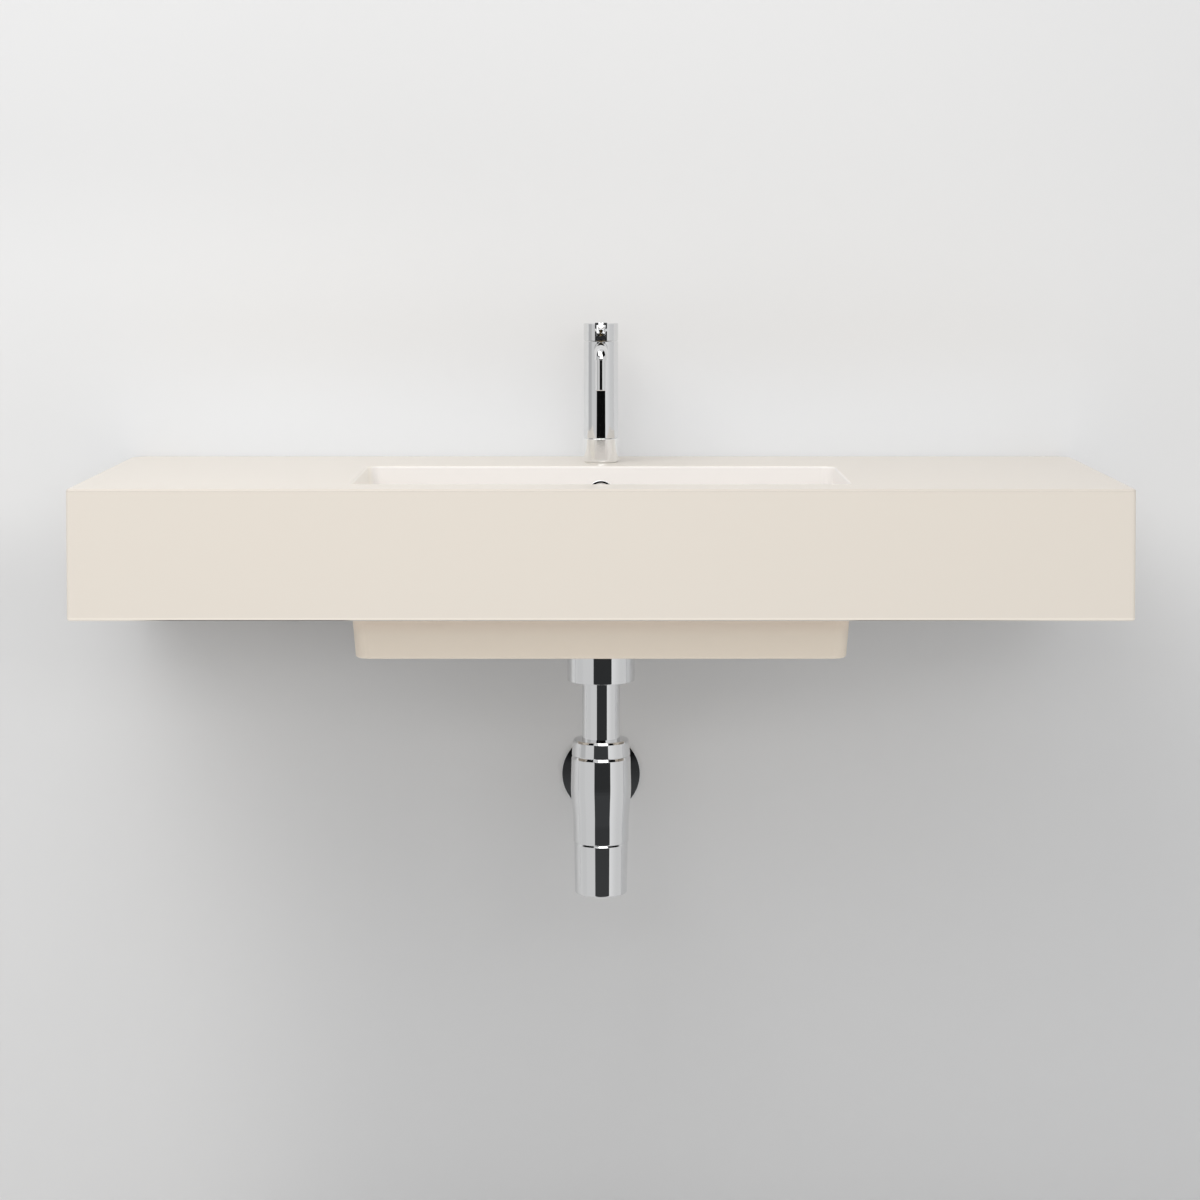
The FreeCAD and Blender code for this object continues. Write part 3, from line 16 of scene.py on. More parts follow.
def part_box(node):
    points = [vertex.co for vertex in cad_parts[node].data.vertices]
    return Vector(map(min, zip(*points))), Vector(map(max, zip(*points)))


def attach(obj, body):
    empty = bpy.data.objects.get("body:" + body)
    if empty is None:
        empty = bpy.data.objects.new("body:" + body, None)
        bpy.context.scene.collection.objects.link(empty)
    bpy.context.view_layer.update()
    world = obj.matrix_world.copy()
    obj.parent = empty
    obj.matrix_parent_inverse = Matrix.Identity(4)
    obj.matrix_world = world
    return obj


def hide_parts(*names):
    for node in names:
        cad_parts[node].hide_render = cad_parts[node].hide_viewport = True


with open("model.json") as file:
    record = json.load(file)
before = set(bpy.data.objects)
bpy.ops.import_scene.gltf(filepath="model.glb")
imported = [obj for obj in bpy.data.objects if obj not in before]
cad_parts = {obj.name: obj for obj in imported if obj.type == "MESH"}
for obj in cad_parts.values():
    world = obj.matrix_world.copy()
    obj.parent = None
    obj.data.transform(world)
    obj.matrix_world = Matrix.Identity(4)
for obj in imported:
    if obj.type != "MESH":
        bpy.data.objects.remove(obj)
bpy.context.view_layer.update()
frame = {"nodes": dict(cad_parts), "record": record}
nodes = frame["nodes"]

MM = 0.001
DRAIN_Y = -291.5
TAP_Y = -95
BOWL_LEAN = 0.0787


# Materials

def shader(name, colour, rough, metal=0.0):
    """A principled material whose fixed numbers sit on its own sockets."""
    mat = bpy.data.materials.new(name)
    mat.use_nodes = True
    main = mat.node_tree.nodes["Principled BSDF"]
    main.inputs["Base Color"].default_value = (*colour, 1)
    main.inputs["Roughness"].default_value = rough
    main.inputs["Metallic"].default_value = metal
    return mat, mat.node_tree, main


def own_place(tree):
    """X, Y and Z in metres of the object's own space, as three sockets."""
    where = tree.nodes.new("ShaderNodeTexCoord")
    parts = tree.nodes.new("ShaderNodeSeparateXYZ")
    tree.links.new(where.outputs["Object"], parts.inputs[0])
    return parts.outputs["X"], parts.outputs["Y"], parts.outputs["Z"]


def noise(tree, scale, detail=2.0):
    """Noise in metres of the object's own space."""
    where = tree.nodes.new("ShaderNodeTexCoord")
    node = tree.nodes.new("ShaderNodeTexNoise")
    node.inputs["Scale"].default_value = scale
    node.inputs["Detail"].default_value = detail
    tree.links.new(where.outputs["Object"], node.inputs["Vector"])
    return node.outputs["Fac"]


def ramp(tree, source, start, end, low=0.0, high=1.0, soft=False):
    """The source from start to end, turned into low to high."""
    node = tree.nodes.new("ShaderNodeMapRange")
    if soft:
        node.interpolation_type = "SMOOTHSTEP"
    node.inputs["From Min"].default_value = start
    node.inputs["From Max"].default_value = end
    node.inputs["To Min"].default_value = low
    node.inputs["To Max"].default_value = high
    tree.links.new(source, node.inputs["Value"])
    return node.outputs["Result"]


def eased(tree, source, start, end, low=0.0, high=1.0):
    """The same, with a soft beginning and a soft end."""
    return ramp(tree, source, start, end, low, high, soft=True)


def spread(tree, source, low, high):
    """The middle tones of a noise, turned into low to high."""
    return ramp(tree, source, 0.3, 0.7, low, high)


def calc(tree, kind, a, b=None):
    """One step of arithmetic on sockets or numbers."""
    node = tree.nodes.new("ShaderNodeMath")
    node.operation = kind
    for socket, given in zip(node.inputs, (a, b)):
        if given is None:
            continue
        if isinstance(given, (int, float)):
            socket.default_value = given
        else:
            tree.links.new(given, socket)
    return node.outputs[0]


def product(tree, first, *more):
    """All the sockets multiplied."""
    for other in more:
        first = calc(tree, "MULTIPLY", first, other)
    return first


def blend_colours(tree, factor, first, second):
    """Two colours, or the outputs of other mixes, mixed by the factor."""
    node = tree.nodes.new("ShaderNodeMix")
    node.data_type = "RGBA"
    for socket, given in ((node.inputs[6], first), (node.inputs[7], second)):
        if isinstance(given, tuple):
            socket.default_value = (*given, 1)
        else:
            tree.links.new(given, socket)
    tree.links.new(factor, node.inputs[0])
    return node.outputs[2]


def tint(tree, main, source, first, second):
    """A base colour that wanders between two near tones."""
    tone = blend_colours(tree, spread(tree, source, 0, 1), first, second)
    tree.links.new(tone, main.inputs["Base Color"])


def bump(tree, main, source, distance):
    """A relief of the given depth in metres."""
    node = tree.nodes.new("ShaderNodeBump")
    node.inputs["Distance"].default_value = distance
    tree.links.new(source, node.inputs["Height"])
    tree.links.new(node.outputs["Normal"], main.inputs["Normal"])


# Where the tone of the ceramic changes: each pair is the start and the end of a change
BOWL_MIDDLE_Y = -0.2915
BOWL_SIDES = (0.2975, 0.2945)
BOWL_ENDS = (0.132, 0.129)
BOWL_MOUTH = (0.085, 0.0835)
BOWL_FLOOR = (-0.110, -0.106)
BOWL_LEFT = (-0.284, -0.290)
BELOW_SLAB = (-0.0705, -0.0725)
BOWL_FOOT = (-0.076, -0.100)
FRONT = (-0.4865, -0.4875)
FOOT_HIGHLIGHT_BAND = (-0.0655, -0.0675)
FOOT_SHADE_LINE = (-0.0682, -0.0688)
TOP_FRONT_EDGE = (-0.486, -0.4885)
TOP_SIDE_EDGE = (0.621, 0.6235)
TOP_EDGE = (0.0805, 0.0825)
# The painted shade line at the foot fades to the left, to the right in two steps, and before the bowl
SHADE_LINE_FADES = ((-0.56, -0.50, 0), (0.56, 0.40, 0.15), (0.40, 0.20, 0.75))
SHADE_LINE_BEFORE_BOWL = (0.285, 0.305, 0.45)

GLAZE_PLAIN = (0.735, 0.68, 0.605)
GLAZE = (0.735, 0.678, 0.604)
# Painted light: the glaze inside the bowl is lighter than outside, and lighter and warmer still on the
# bowl's left wall
GLAZE_LIT_IN_BOWL = (0.86, 0.829, 0.80)
GLAZE_LIT_LEFT_WALL = (0.97, 0.93, 0.85)
# Painted light: below the slab the glaze is lighter and warmer, lightest just under the slab, to lift
# the slab's shade
GLAZE_LIT_UNDER_SLAB = (0.95, 0.82, 0.69)
GLAZE_LIT_UNDER_LOW = (0.80, 0.712, 0.602)
# Painted shade on the top front and side edges, against the light they catch
GLAZE_EDGE_SHADE = (0.655, 0.60, 0.535)
# Painted highlight: a lighter band along the lower front edge
GLAZE_FOOT_HIGHLIGHT = (0.87, 0.805, 0.72)
# Painted shade: a dark line at the very foot of the front
GLAZE_FOOT_SHADE_LINE = (0.19, 0.18, 0.167)


def glaze():
    """Warm off-white sanitary glaze, with painted light and shade: lighter inside the bowl and on its
    left wall, lighter under the slab, painted shade on the top edges, and a painted highlight and a
    painted shade line at the foot of the front.
    """
    mat, tree, main = shader("glaze", GLAZE_PLAIN, 0.28)
    main.inputs["Specular IOR Level"].default_value = 0.3
    x, y, z = own_place(tree)
    beside = calc(tree, "ABSOLUTE", x)
    lean = calc(tree, "MULTIPLY", z, BOWL_LEAN)

    along = calc(tree, "ABSOLUTE", calc(tree, "SUBTRACT", y, BOWL_MIDDLE_Y))
    in_bowl = product(
        tree,
        eased(tree, calc(tree, "SUBTRACT", beside, lean), *BOWL_SIDES),
        eased(tree, calc(tree, "SUBTRACT", along, lean), *BOWL_ENDS),
        eased(tree, z, *BOWL_MOUTH),
        eased(tree, z, *BOWL_FLOOR),
    )
    # Painted light inside the bowl, strongest on its left wall
    left_wall = eased(tree, calc(tree, "ADD", x, lean), *BOWL_LEFT)
    inside = blend_colours(tree, left_wall, GLAZE_LIT_IN_BOWL, GLAZE_LIT_LEFT_WALL)

    # Painted light on the bowl below the slab, fading downwards
    under = blend_colours(tree, eased(tree, z, *BOWL_FOOT), GLAZE_LIT_UNDER_SLAB, GLAZE_LIT_UNDER_LOW)
    outside = blend_colours(tree, eased(tree, z, *BELOW_SLAB), GLAZE, under)
    # Painted shade along the top front and side edges
    rim = calc(tree, "MAXIMUM", eased(tree, y, *TOP_FRONT_EDGE), eased(tree, beside, *TOP_SIDE_EDGE))
    rim = product(tree, rim, eased(tree, z, *TOP_EDGE))
    outside = blend_colours(tree, rim, outside, GLAZE_EDGE_SHADE)
    # Painted highlight along the lower front edge of the slab
    front = ramp(tree, y, *FRONT)
    foot = product(tree, front, eased(tree, z, *FOOT_HIGHLIGHT_BAND))
    outside = blend_colours(tree, foot, outside, GLAZE_FOOT_HIGHLIGHT)
    # Painted shade line along the foot of the front, fading at its ends and before the bowl
    line = product(tree, front, eased(tree, z, *FOOT_SHADE_LINE))
    for start, end, weakest in SHADE_LINE_FADES:
        line = product(tree, line, eased(tree, x, start, end, weakest, 1))
    start, end, weakest = SHADE_LINE_BEFORE_BOWL
    line = product(tree, line, eased(tree, beside, start, end, weakest, 1))
    outside = blend_colours(tree, line, outside, GLAZE_FOOT_SHADE_LINE)

    tree.links.new(blend_colours(tree, in_bowl, outside, inside), main.inputs["Base Color"])
    return mat


def metal(name, plain, tones, tone_noise, rough, roughs, rough_noise):
    """A metal with a wandering tone and roughness. Each noise is a scale and a detail.

    The plain colour and the first roughness are what a viewer shows that can't follow the nodes.
    """
    mat, tree, main = shader(name, plain, rough, metal=1.0)
    tint(tree, main, noise(tree, *tone_noise), *tones)
    tree.links.new(spread(tree, noise(tree, *rough_noise), *roughs), main.inputs["Roughness"])
    return mat


def dull(name, plain, tones, tone_noise, rough, grain_scale, grain_depth):
    """Rubber or plastic: two near tones and a fine grain."""
    mat, tree, main = shader(name, plain, rough)
    tint(tree, main, noise(tree, *tone_noise), *tones)
    bump(tree, main, noise(tree, grain_scale), grain_depth)
    return mat


def plastic(name, first, second):
    return dull(name, first, (first, second), (150, 2), 0.45, 1800, 0.00003)


def chrome(name, plain, tones, rough, roughs):
    return metal(name, plain, tones, (14, 2), rough, roughs, (90, 4))


CHROME_TONES = (0.775, 0.78, 0.787), (0.79, 0.795, 0.80)
# Tones of the brighter chrome copy, which paints light on the ring under the column
LIT_BRIGHTER_TONES = (0.91, 0.91, 0.905), (0.93, 0.93, 0.925)
STEEL_TONES = (0.50, 0.51, 0.53), (0.62, 0.61, 0.58)
BRASS_TONES = (0.66, 0.50, 0.26), (0.76, 0.60, 0.35)
RUBBER_TONES = (0.028, 0.028, 0.029), (0.045, 0.045, 0.046)

finishes = {
    "ceramic": glaze(),
    "chrome": chrome("chrome", (0.78, 0.785, 0.79), CHROME_TONES, 0.04, (0.02, 0.045)),
    "steel": metal(
        "zinc_steel", (0.55, 0.55, 0.54), STEEL_TONES, (180, 3), 0.35, (0.26, 0.44), (420, 3),
    ),
    "brass": metal(
        "brass", (0.71, 0.55, 0.30), BRASS_TONES, (120, 3), 0.28, (0.22, 0.36), (300, 3),
    ),
    "rubber": dull("rubber", (0.035, 0.035, 0.036), RUBBER_TONES, (260, 3), 0.7, 1600, 0.00004),
    "white_plastic": plastic("white_plastic", (0.78, 0.78, 0.76), (0.82, 0.82, 0.80)),
    "grey_plastic": plastic("grey_plastic", (0.10, 0.10, 0.105), (0.13, 0.13, 0.135)),
}
# Painted light: the seal under the column's ring is paled, so that the thin gap there shows less of a
# dark line of shade
rubber_paled_for_gap_shade = plastic("rubber_paled_for_gap_shade", (0.66, 0.65, 0.63), (0.70, 0.69, 0.67))
# Painted light: a brighter, softer copy of the chrome for the ring that carries the column, so that
# its reflections come out lighter
chrome_lit_brighter = chrome("chrome_lit_brighter", (0.92, 0.92, 0.915), LIT_BRIGHTER_TONES, 0.14, (0.12, 0.16))

slots = {}
for part in frame["record"]["subparts"]:
    slots[part["node"]] = part["material_slot"]
    mesh = nodes[part["node"]].data
    mesh.materials.clear()
    mesh.materials.append(finishes[part["material_slot"]])
bodies = {
    node: body
    for body, held in frame["record"]["behaviour"]["bodies"].items()
    for node in held
}


# Making fine shapes

SUPPORT = 0.35
ARC_STEP = 9
SAME_POINT = 1e-6


def span(node):
    """Lowest and highest height of a node, in millimetres."""
    low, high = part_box(node)
    return low.z / MM, high.z / MM


def rounded(points, closed):
    """The outline with an arc at each point that states a radius after its two places."""
    out = []
    for i, point in enumerate(points):
        here = Vector(point[:2])
        radius = point[2] if len(point) > 2 else 0
        if not radius or (not closed and i in (0, len(points) - 1)):
            out.append(here)
            continue
        back = (Vector(points[i - 1][:2]) - here).normalized()
        ahead = (Vector(points[(i + 1) % len(points)][:2]) - here).normalized()
        half = back.angle(ahead) / 2
        middle = here + (back + ahead).normalized() * (radius / math.sin(half))
        start = here + back * (radius / math.tan(half)) - middle
        end = here + ahead * (radius / math.tan(half)) - middle
        turn = math.atan2(start.x * end.y - start.y * end.x, start.dot(end))
        steps = max(4, round(abs(math.degrees(turn)) / ARC_STEP))
        for k in range(steps + 1):
            c, s = math.cos(turn * k / steps), math.sin(turn * k / steps)
            out.append(middle + Vector((start.x * c - start.y * s, start.x * s + start.y * c)))
    return out


def supported(points, closed):
    """The outline with a point near each end of its longer runs, for straight reflections."""
    out = []
    for i, here in enumerate(points):
        out.append(here)
        if i == len(points) - 1 and not closed:
            break
        run = points[(i + 1) % len(points)] - here
        if run.length > 4 * SUPPORT:
            step = run.normalized() * SUPPORT
            out += [here + step, here + run - step]
    return out


def circle_of(count):
    return [math.tau * k / count for k in range(count)]


def ring_of(bm, radius, along, count):
    """A level ring of points about the Z axis."""
    return [
        bm.verts.new((radius * math.cos(a), radius * math.sin(a), along))
        for a in circle_of(count)
    ]


def ring_about(bm, centre, radius, side, up, count):
    """A ring of points about a centre, in the plane of two directions."""
    return [
        bm.verts.new(centre + radius * (side * math.cos(a) + up * math.sin(a)))
        for a in circle_of(count)
    ]


def neighbours(rows, closed):
    """Each row with the next one, and in a closed outline also the last with the first."""
    return list(zip(rows, rows[1:])) + ([(rows[-1], rows[0])] if closed else [])


def bridge(bm, rows, closed=False):
    """Skins rows of equally many points, one after the other."""
    skin = []
    for a, b in neighbours(rows, closed):
        for k in range(len(a)):
            m = (k + 1) % len(a)
            skin.append(bm.faces.new((a[k], a[m], b[m], b[k])))
    bmesh.ops.recalc_face_normals(bm, faces=skin)
    return skin


def cap_ends(bm, rows, skin):
    """Closes the first and the last row with flat faces."""
    for ring in (rows[0], rows[-1]):
        skin.append(bm.faces.new(ring))
    bmesh.ops.recalc_face_normals(bm, faces=skin)


def points_of(rows):
    return [v for row in rows for v in row]


def add_lathe(bm, points, closed=False, count=128, turn=None):
    """Turns an outline about the Z axis, and then moves it by the matrix given."""
    rings = []
    for across, up in supported(rounded(points, closed), closed):
        if across < SAME_POINT:
            rings.append([bm.verts.new((0, 0, up))])
            continue
        rings.append(ring_of(bm, across, up, count))
    skin = []
    for a, b in neighbours(rings, closed):
        for k in range(count):
            m = (k + 1) % count
            if len(a) == 1 and len(b) == 1:
                continue
            if len(a) == 1:
                skin.append(bm.faces.new((a[0], b[m], b[k])))
            elif len(b) == 1:
                skin.append(bm.faces.new((a[k], a[m], b[0])))
            else:
                skin.append(bm.faces.new((a[k], a[m], b[m], b[k])))
    bmesh.ops.recalc_face_normals(bm, faces=skin)
    if turn:
        bmesh.ops.transform(bm, matrix=turn, verts=points_of(rings))
    return points_of(rings)


def piece(name, bm, place, node, sharp=32, finish=None):
    """An object from millimetres at the place given, standing for the CAD node that is named."""
    mesh = bpy.data.meshes.new(name)
    bm.to_mesh(mesh)
    bm.free()
    mesh.transform(Matrix.Scale(MM, 4) @ Matrix.Translation(place))
    mesh.shade_smooth()
    mesh.set_sharp_from_angle(angle=math.radians(sharp))
    mesh.materials.append(finish or finishes[slots[node]])
    obj = bpy.data.objects.new(name, mesh)
    bpy.context.scene.collection.objects.link(obj)
    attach(obj, bodies[node])
    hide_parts(node)
    return obj


def turned(name, points, place, node, closed=False, turn=None, count=128, finish=None):
    """A piece that is one turned outline."""
    bm = bmesh.new()
    add_lathe(bm, points, closed, count, turn)
    return piece(name, bm, place, node, finish=finish)


AT_DRAIN = (0, DRAIN_Y, 0)
AT_TAP = (0, TAP_Y, 0)
TO_WALL = Matrix.Rotation(-math.pi / 2, 4, "X")
RIGHT = Vector((1, 0, 0))


# Overflow ring and plug

AT_RING = (0, -161.79, 49.5)
RING_BORE, RING_SLEEVE, RING_RADIUS = 9.4, 10.6, 16.97
RING_REACH = 8
INTO_BOWL = Matrix.Rotation(math.pi / 2 - math.atan(BOWL_LEAN), 4, "X")
turned(
    "fine_overflow_ring",
    [
        (RING_BORE, -RING_REACH, 0.3), (RING_SLEEVE, -RING_REACH, 0.3), (RING_SLEEVE, 0),
        (RING_RADIUS, 0), (RING_RADIUS, 1.04, 0.45),
        (13.9, 1.12, 1.2), (12.2, 1.12, 1.2), (10.1, 1.56, 0.5), (RING_BORE, 0.9, 0.5),
    ],
    AT_RING, "overflow_ring", closed=True, turn=INTO_BOWL,
)

PLUG_RADIUS, PLUG_BOSS, PLUG_STEM = 29, 15.8, 4
PLUG_DISC, PLUG_HIGH = 4.6, 8.4
CROWN, CROWN_RADIUS, CROWN_STEPS = 2.4, 27.9, 22
low, high = span("waste_plug")
crown = []
for k in range(CROWN_STEPS - 1, -1, -1):
    radius = CROWN_RADIUS * k / CROWN_STEPS
    crown.append((radius, high - CROWN * (radius / PLUG_RADIUS) ** 2))
turned(
    "fine_plug",
    [
        (0, low), (PLUG_STEM, low, 0.6), (PLUG_STEM, high - PLUG_HIGH),
        (PLUG_BOSS, high - PLUG_HIGH, 0.4), (PLUG_BOSS, high - PLUG_DISC),
        (PLUG_RADIUS, high - PLUG_DISC, 0.4), (PLUG_RADIUS, high - CROWN, 0.8),
    ] + crown,
    AT_DRAIN, "waste_plug",
)


# Collar, trap and outlet

COLLAR_RADIUS, COLLAR_BORE, COLLAR_WALL = 41.75, 23.7, 2
low, high = span("cover_collar")
turned(
    "fine_collar",
    [
        (COLLAR_BORE, low, 0.5), (COLLAR_RADIUS, low, 1.0), (COLLAR_RADIUS, high),
        (COLLAR_RADIUS - COLLAR_WALL, high), (COLLAR_RADIUS - COLLAR_WALL, low + COLLAR_WALL, 1),
        (COLLAR_BORE, low + COLLAR_WALL),
    ],
    AT_DRAIN, "cover_collar", closed=True,
)

SLEEVE_RADIUS, SLEEVE_BORE = 23.5, 22
low, high = span("cover_sleeve")
turned(
    "fine_sleeve",
    [(SLEEVE_BORE, low), (SLEEVE_RADIUS, low), (SLEEVE_RADIUS, high, 0.6), (SLEEVE_BORE, high)],
    AT_DRAIN, "cover_sleeve", closed=True,
)

HEAD_TOP, HEAD_FOOT = 33.6, 36.2
HEAD_BEVEL, HEAD_BEVEL_DEEP = 34.8, 2.9
HEAD_BORE, HEAD_THREAD, HEAD_PLATE = 16.3, 27.05, 4
head_low, head_high = span("trap_head")
turned(
    "fine_head",
    [
        (HEAD_BORE, head_high - HEAD_PLATE), (HEAD_BORE, head_high), (HEAD_TOP, head_high, 0.6),
        (HEAD_BEVEL, head_high - HEAD_BEVEL_DEEP, 1.2), (HEAD_FOOT, head_low, 0.9),
        (HEAD_THREAD, head_low), (HEAD_THREAD, head_high - HEAD_PLATE),
    ],
    AT_DRAIN, "trap_head", closed=True,
)

SHOULDER, SHOULDER_TOP, SHOULDER_DEEP = 36.5, 35.1, 3.4
BELLY, BELLY_DROP = 37.4, 44
WAIST, WAIST_DROP = 34.5, 80
BOTTLE_FOOT, BOTTLE_BORE = 34.3, 30.5
NECK, NECK_BORE, NECK_FLOOR = 27, 20, 4
BEND_OF_SIDE = 150
foot, neck = span("trap_body")
seam = head_low
belly, waist = seam - BELLY_DROP, seam - WAIST_DROP
bottle = [
    (BOTTLE_BORE, foot), (BOTTLE_FOOT, foot, 0.8), (WAIST, waist, BEND_OF_SIDE),
    (BELLY, belly, BEND_OF_SIDE), (SHOULDER, seam - SHOULDER_DEEP, 1.2), (SHOULDER_TOP, seam, 0.6),
    (NECK, seam), (NECK, neck, 0.5), (NECK_BORE, neck), (NECK_BORE, seam - NECK_FLOOR),
    (BOTTLE_BORE, seam - NECK_FLOOR, 3),
]
SOCKET_Z = -341.0
SOCKET_RADIUS = 21
# Fillet at the root of the socket: how much wider than the socket, and how far out of the skin
SOCKET_FILLET = ((2.4, -0.25), (1.5, 0.12), (0.8, 0.55), (0.3, 1.2), (0.0, 2.2))
# Its mouth: radius and distance from the axis of the bottle
SOCKET_MOUTH = ((21, 55.2), (20.7, 55.8), (20, 56), (15.9, 56), (15.9, 40))


def bottle_radius(height):
    """Outside radius of the bottle at a height."""
    line = [
        (foot, BOTTLE_FOOT), (waist, WAIST), (belly, BELLY),
        (seam - SHOULDER_DEEP, SHOULDER), (seam, SHOULDER_TOP),
    ]
    for (z0, r0), (z1, r1) in zip(line, line[1:]):
        if z0 <= height <= z1:
            return r0 + (r1 - r0) * (height - z0) / (z1 - z0)
    return BOTTLE_FOOT


def add_socket(bm, count=96):
    """The outlet socket: it starts on the skin of the bottle, with a small cast fillet."""
    rows = []
    for grow, ahead in SOCKET_FILLET:
        ring = []
        for a in circle_of(count):
            r = SOCKET_RADIUS + grow
            x, z = r * math.cos(a), SOCKET_Z + r * math.sin(a)
            skin = math.sqrt(max(bottle_radius(z) ** 2 - x * x, 0))
            ring.append(bm.verts.new((x, skin + ahead, z)))
        rows.append(ring)
    for across, ahead in SOCKET_MOUTH:
        rows.append([
            bm.verts.new((across * math.cos(a), ahead, SOCKET_Z + across * math.sin(a)))
            for a in circle_of(count)
        ])
    for a, b in zip(rows, rows[1:]):
        for k in range(count):
            m = (k + 1) % count
            bm.faces.new((a[k], b[k], b[m], a[m]))


bm = bmesh.new()
add_lathe(bm, bottle, closed=True)
add_socket(bm)
piece("fine_bottle", bm, AT_DRAIN, "trap_body")

CUP_FOOT, CUP_TOP, CUP_EDGE, CUP_BEVEL_DEEP = 32.2, 33.3, 32.1, 2.9
CUP_SPIGOT, CUP_BORE, CUP_FLOOR = 30.45, 27.5, 4
low, high = span("trap_cup")
turned(
    "fine_cup",
    [
        (0, low), (CUP_FOOT, low, 2.2), (CUP_TOP, foot - CUP_BEVEL_DEEP, 1.2),
        (CUP_EDGE, foot, 0.6), (CUP_SPIGOT, foot), (CUP_SPIGOT, high, 0.5), (CUP_BORE, high),
        (CUP_BORE, low + CUP_FLOOR, 5), (0, low + CUP_FLOOR),
    ],
    AT_DRAIN, "trap_cup",
)

AT_OUTLET = (0, DRAIN_Y, SOCKET_Z)
TO_THE_WALL = 291.5
PLATE_RADIUS, PLATE_BORE = 52.85, 15.8
PLATE_FRONT = 282.5
turned(
    "fine_rosette",
    [
        (PLATE_RADIUS, TO_THE_WALL), (PLATE_RADIUS, 287.6, 1.1), (38, 286.3, 30),
        (23, PLATE_FRONT, 8), (PLATE_BORE, PLATE_FRONT),
        (PLATE_BORE, 283.7), (22, 283.7), (41.1, 287.7), (51.6, 290.2), (51.6, TO_THE_WALL),
    ],
    AT_OUTLET, "wall_rosette", closed=True, turn=TO_WALL,
)

GROOVE_EASE = 0.8


def add_grooved(bm, radius, deep, start, end, count, per):
    """A round wall from start to end with shallow grip grooves along it."""
    rows = []
    for along in (start, start + GROOVE_EASE, end - GROOVE_EASE, end):
        fade = 0 if along in (start, end) else 1
        ring = []
        for k in range(count * per):
            wave = 0.5 - 0.5 * math.cos(math.tau * k / per)
            r = radius - fade * deep * wave ** 3 - (1 - fade) * GROOVE_EASE
            a = math.tau * k / (count * per)
            ring.append(bm.verts.new((r * math.cos(a), r * math.sin(a), along)))
        rows.append(ring)
    return rows


NUT_RADIUS, NUT_BORE, NUT_THREAD, NUT_PLATE = 26, 15.9, 21.05, 4
GROOVES, GROOVE_STEPS, GROOVE_DEEP = 24, 8, 0.9
low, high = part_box("outlet_nut")
start, end = low.y / MM - DRAIN_Y, high.y / MM - DRAIN_Y
bm = bmesh.new()
rows = add_grooved(bm, NUT_RADIUS, GROOVE_DEEP, start, end, GROOVES, GROOVE_STEPS)
for radius, along in (
    (NUT_BORE, end), (NUT_BORE, end - NUT_PLATE), (NUT_THREAD, end - NUT_PLATE), (NUT_THREAD, start),
):
    rows.append(ring_of(bm, radius, along, GROOVES * GROOVE_STEPS))
bridge(bm, rows, closed=True)
bmesh.ops.transform(bm, matrix=TO_WALL, verts=bm.verts)
piece("fine_outlet_nut", bm, AT_OUTLET, "outlet_nut")


# Tap

SEAL_RADIUS, SEAL_BORE = 21.45, 15
low, high = span("tap_base_seal")
# The seal takes the paled rubber: painted light against the shade in the gap under the ring
turned(
    "fine_tap_base_seal",
    [(SEAL_BORE, low), (SEAL_RADIUS, low, 0.2), (SEAL_RADIUS, high, 0.2), (SEAL_BORE, high)],
    AT_TAP, "tap_base_seal", closed=True, finish=rubber_paled_for_gap_shade,
)
COLUMN_RADIUS, BASE_BORE = 22.5, 17
low, high = span("tap_base")
# The ring under the column takes the brighter chrome copy: painted light
turned(
    "fine_tap_base",
    [(BASE_BORE, low), (COLUMN_RADIUS, low, 0.5), (COLUMN_RADIUS, high, 0.7), (BASE_BORE, high)],
    AT_TAP, "tap_base", closed=True, finish=chrome_lit_brighter,
)

TUBE_RADIUS, TUBE_BORE = 8, 6
SPOUT_Z = span("spout")[1] - TUBE_RADIUS
REACH = 130
BEND, BEND_STEPS = 10, 24
DROP_Z = SPOUT_Z - BEND
# The stub in the column: distance from the axis of the column and radius
SPOUT_STUB = ((-15.5, 5.2), (-15.5, 6.4), (-20.5, 6.4), (-20.5, TUBE_RADIUS), (-21.2, TUBE_RADIUS))
SPOUT_FOOT = ((7.4, 0), (TUBE_BORE, 0), (TUBE_BORE, 6.2))


def add_spout(bm, count=72):
    """The tube of the spout: straight, one tight bend, open at its lower end, with its stub."""
    forward, down = Vector((0, -1, 0)), Vector((0, 0, -1))
    stations = [(Vector((0, along, SPOUT_Z)), forward, radius) for along, radius in SPOUT_STUB]
    stations.append((Vector((0, BEND - REACH + 1, SPOUT_Z)), forward, TUBE_RADIUS))
    middle = Vector((0, BEND - REACH, SPOUT_Z - BEND))
    for k in range(BEND_STEPS + 1):
        a = math.pi / 2 * k / BEND_STEPS
        out = Vector((0, -math.sin(a), math.cos(a)))
        stations.append((middle + out * BEND, Vector((0, -math.cos(a), -math.sin(a))), TUBE_RADIUS))
    for radius, rise in SPOUT_FOOT:
        stations.append((Vector((0, -REACH, DROP_Z + rise)), down, radius))
    bridge(bm, [
        ring_about(bm, centre, radius, RIGHT, RIGHT.cross(ahead).normalized(), count)
        for centre, ahead, radius in stations
    ])


bm = bmesh.new()
add_spout(bm)
piece("fine_spout", bm, AT_TAP, "spout")

LEVER_Z = 256.5
LEVER_TILT = math.asin(0.1228)
LEVER_ROOT, LEVER_TIP, LEVER_RADIUS = 4.5, 62, 4.17
HUB_RADIUS, HUB_HALF = 6.15, 5.95
HUB_FLAT, HUB_FLAT_UP = math.radians(42), math.radians(12)
# The rounded ends of the hub: distance from the end and how much is taken off the radius
HUB_END = ((0, 0.6), (0.18, 0.18), (0.6, 0))


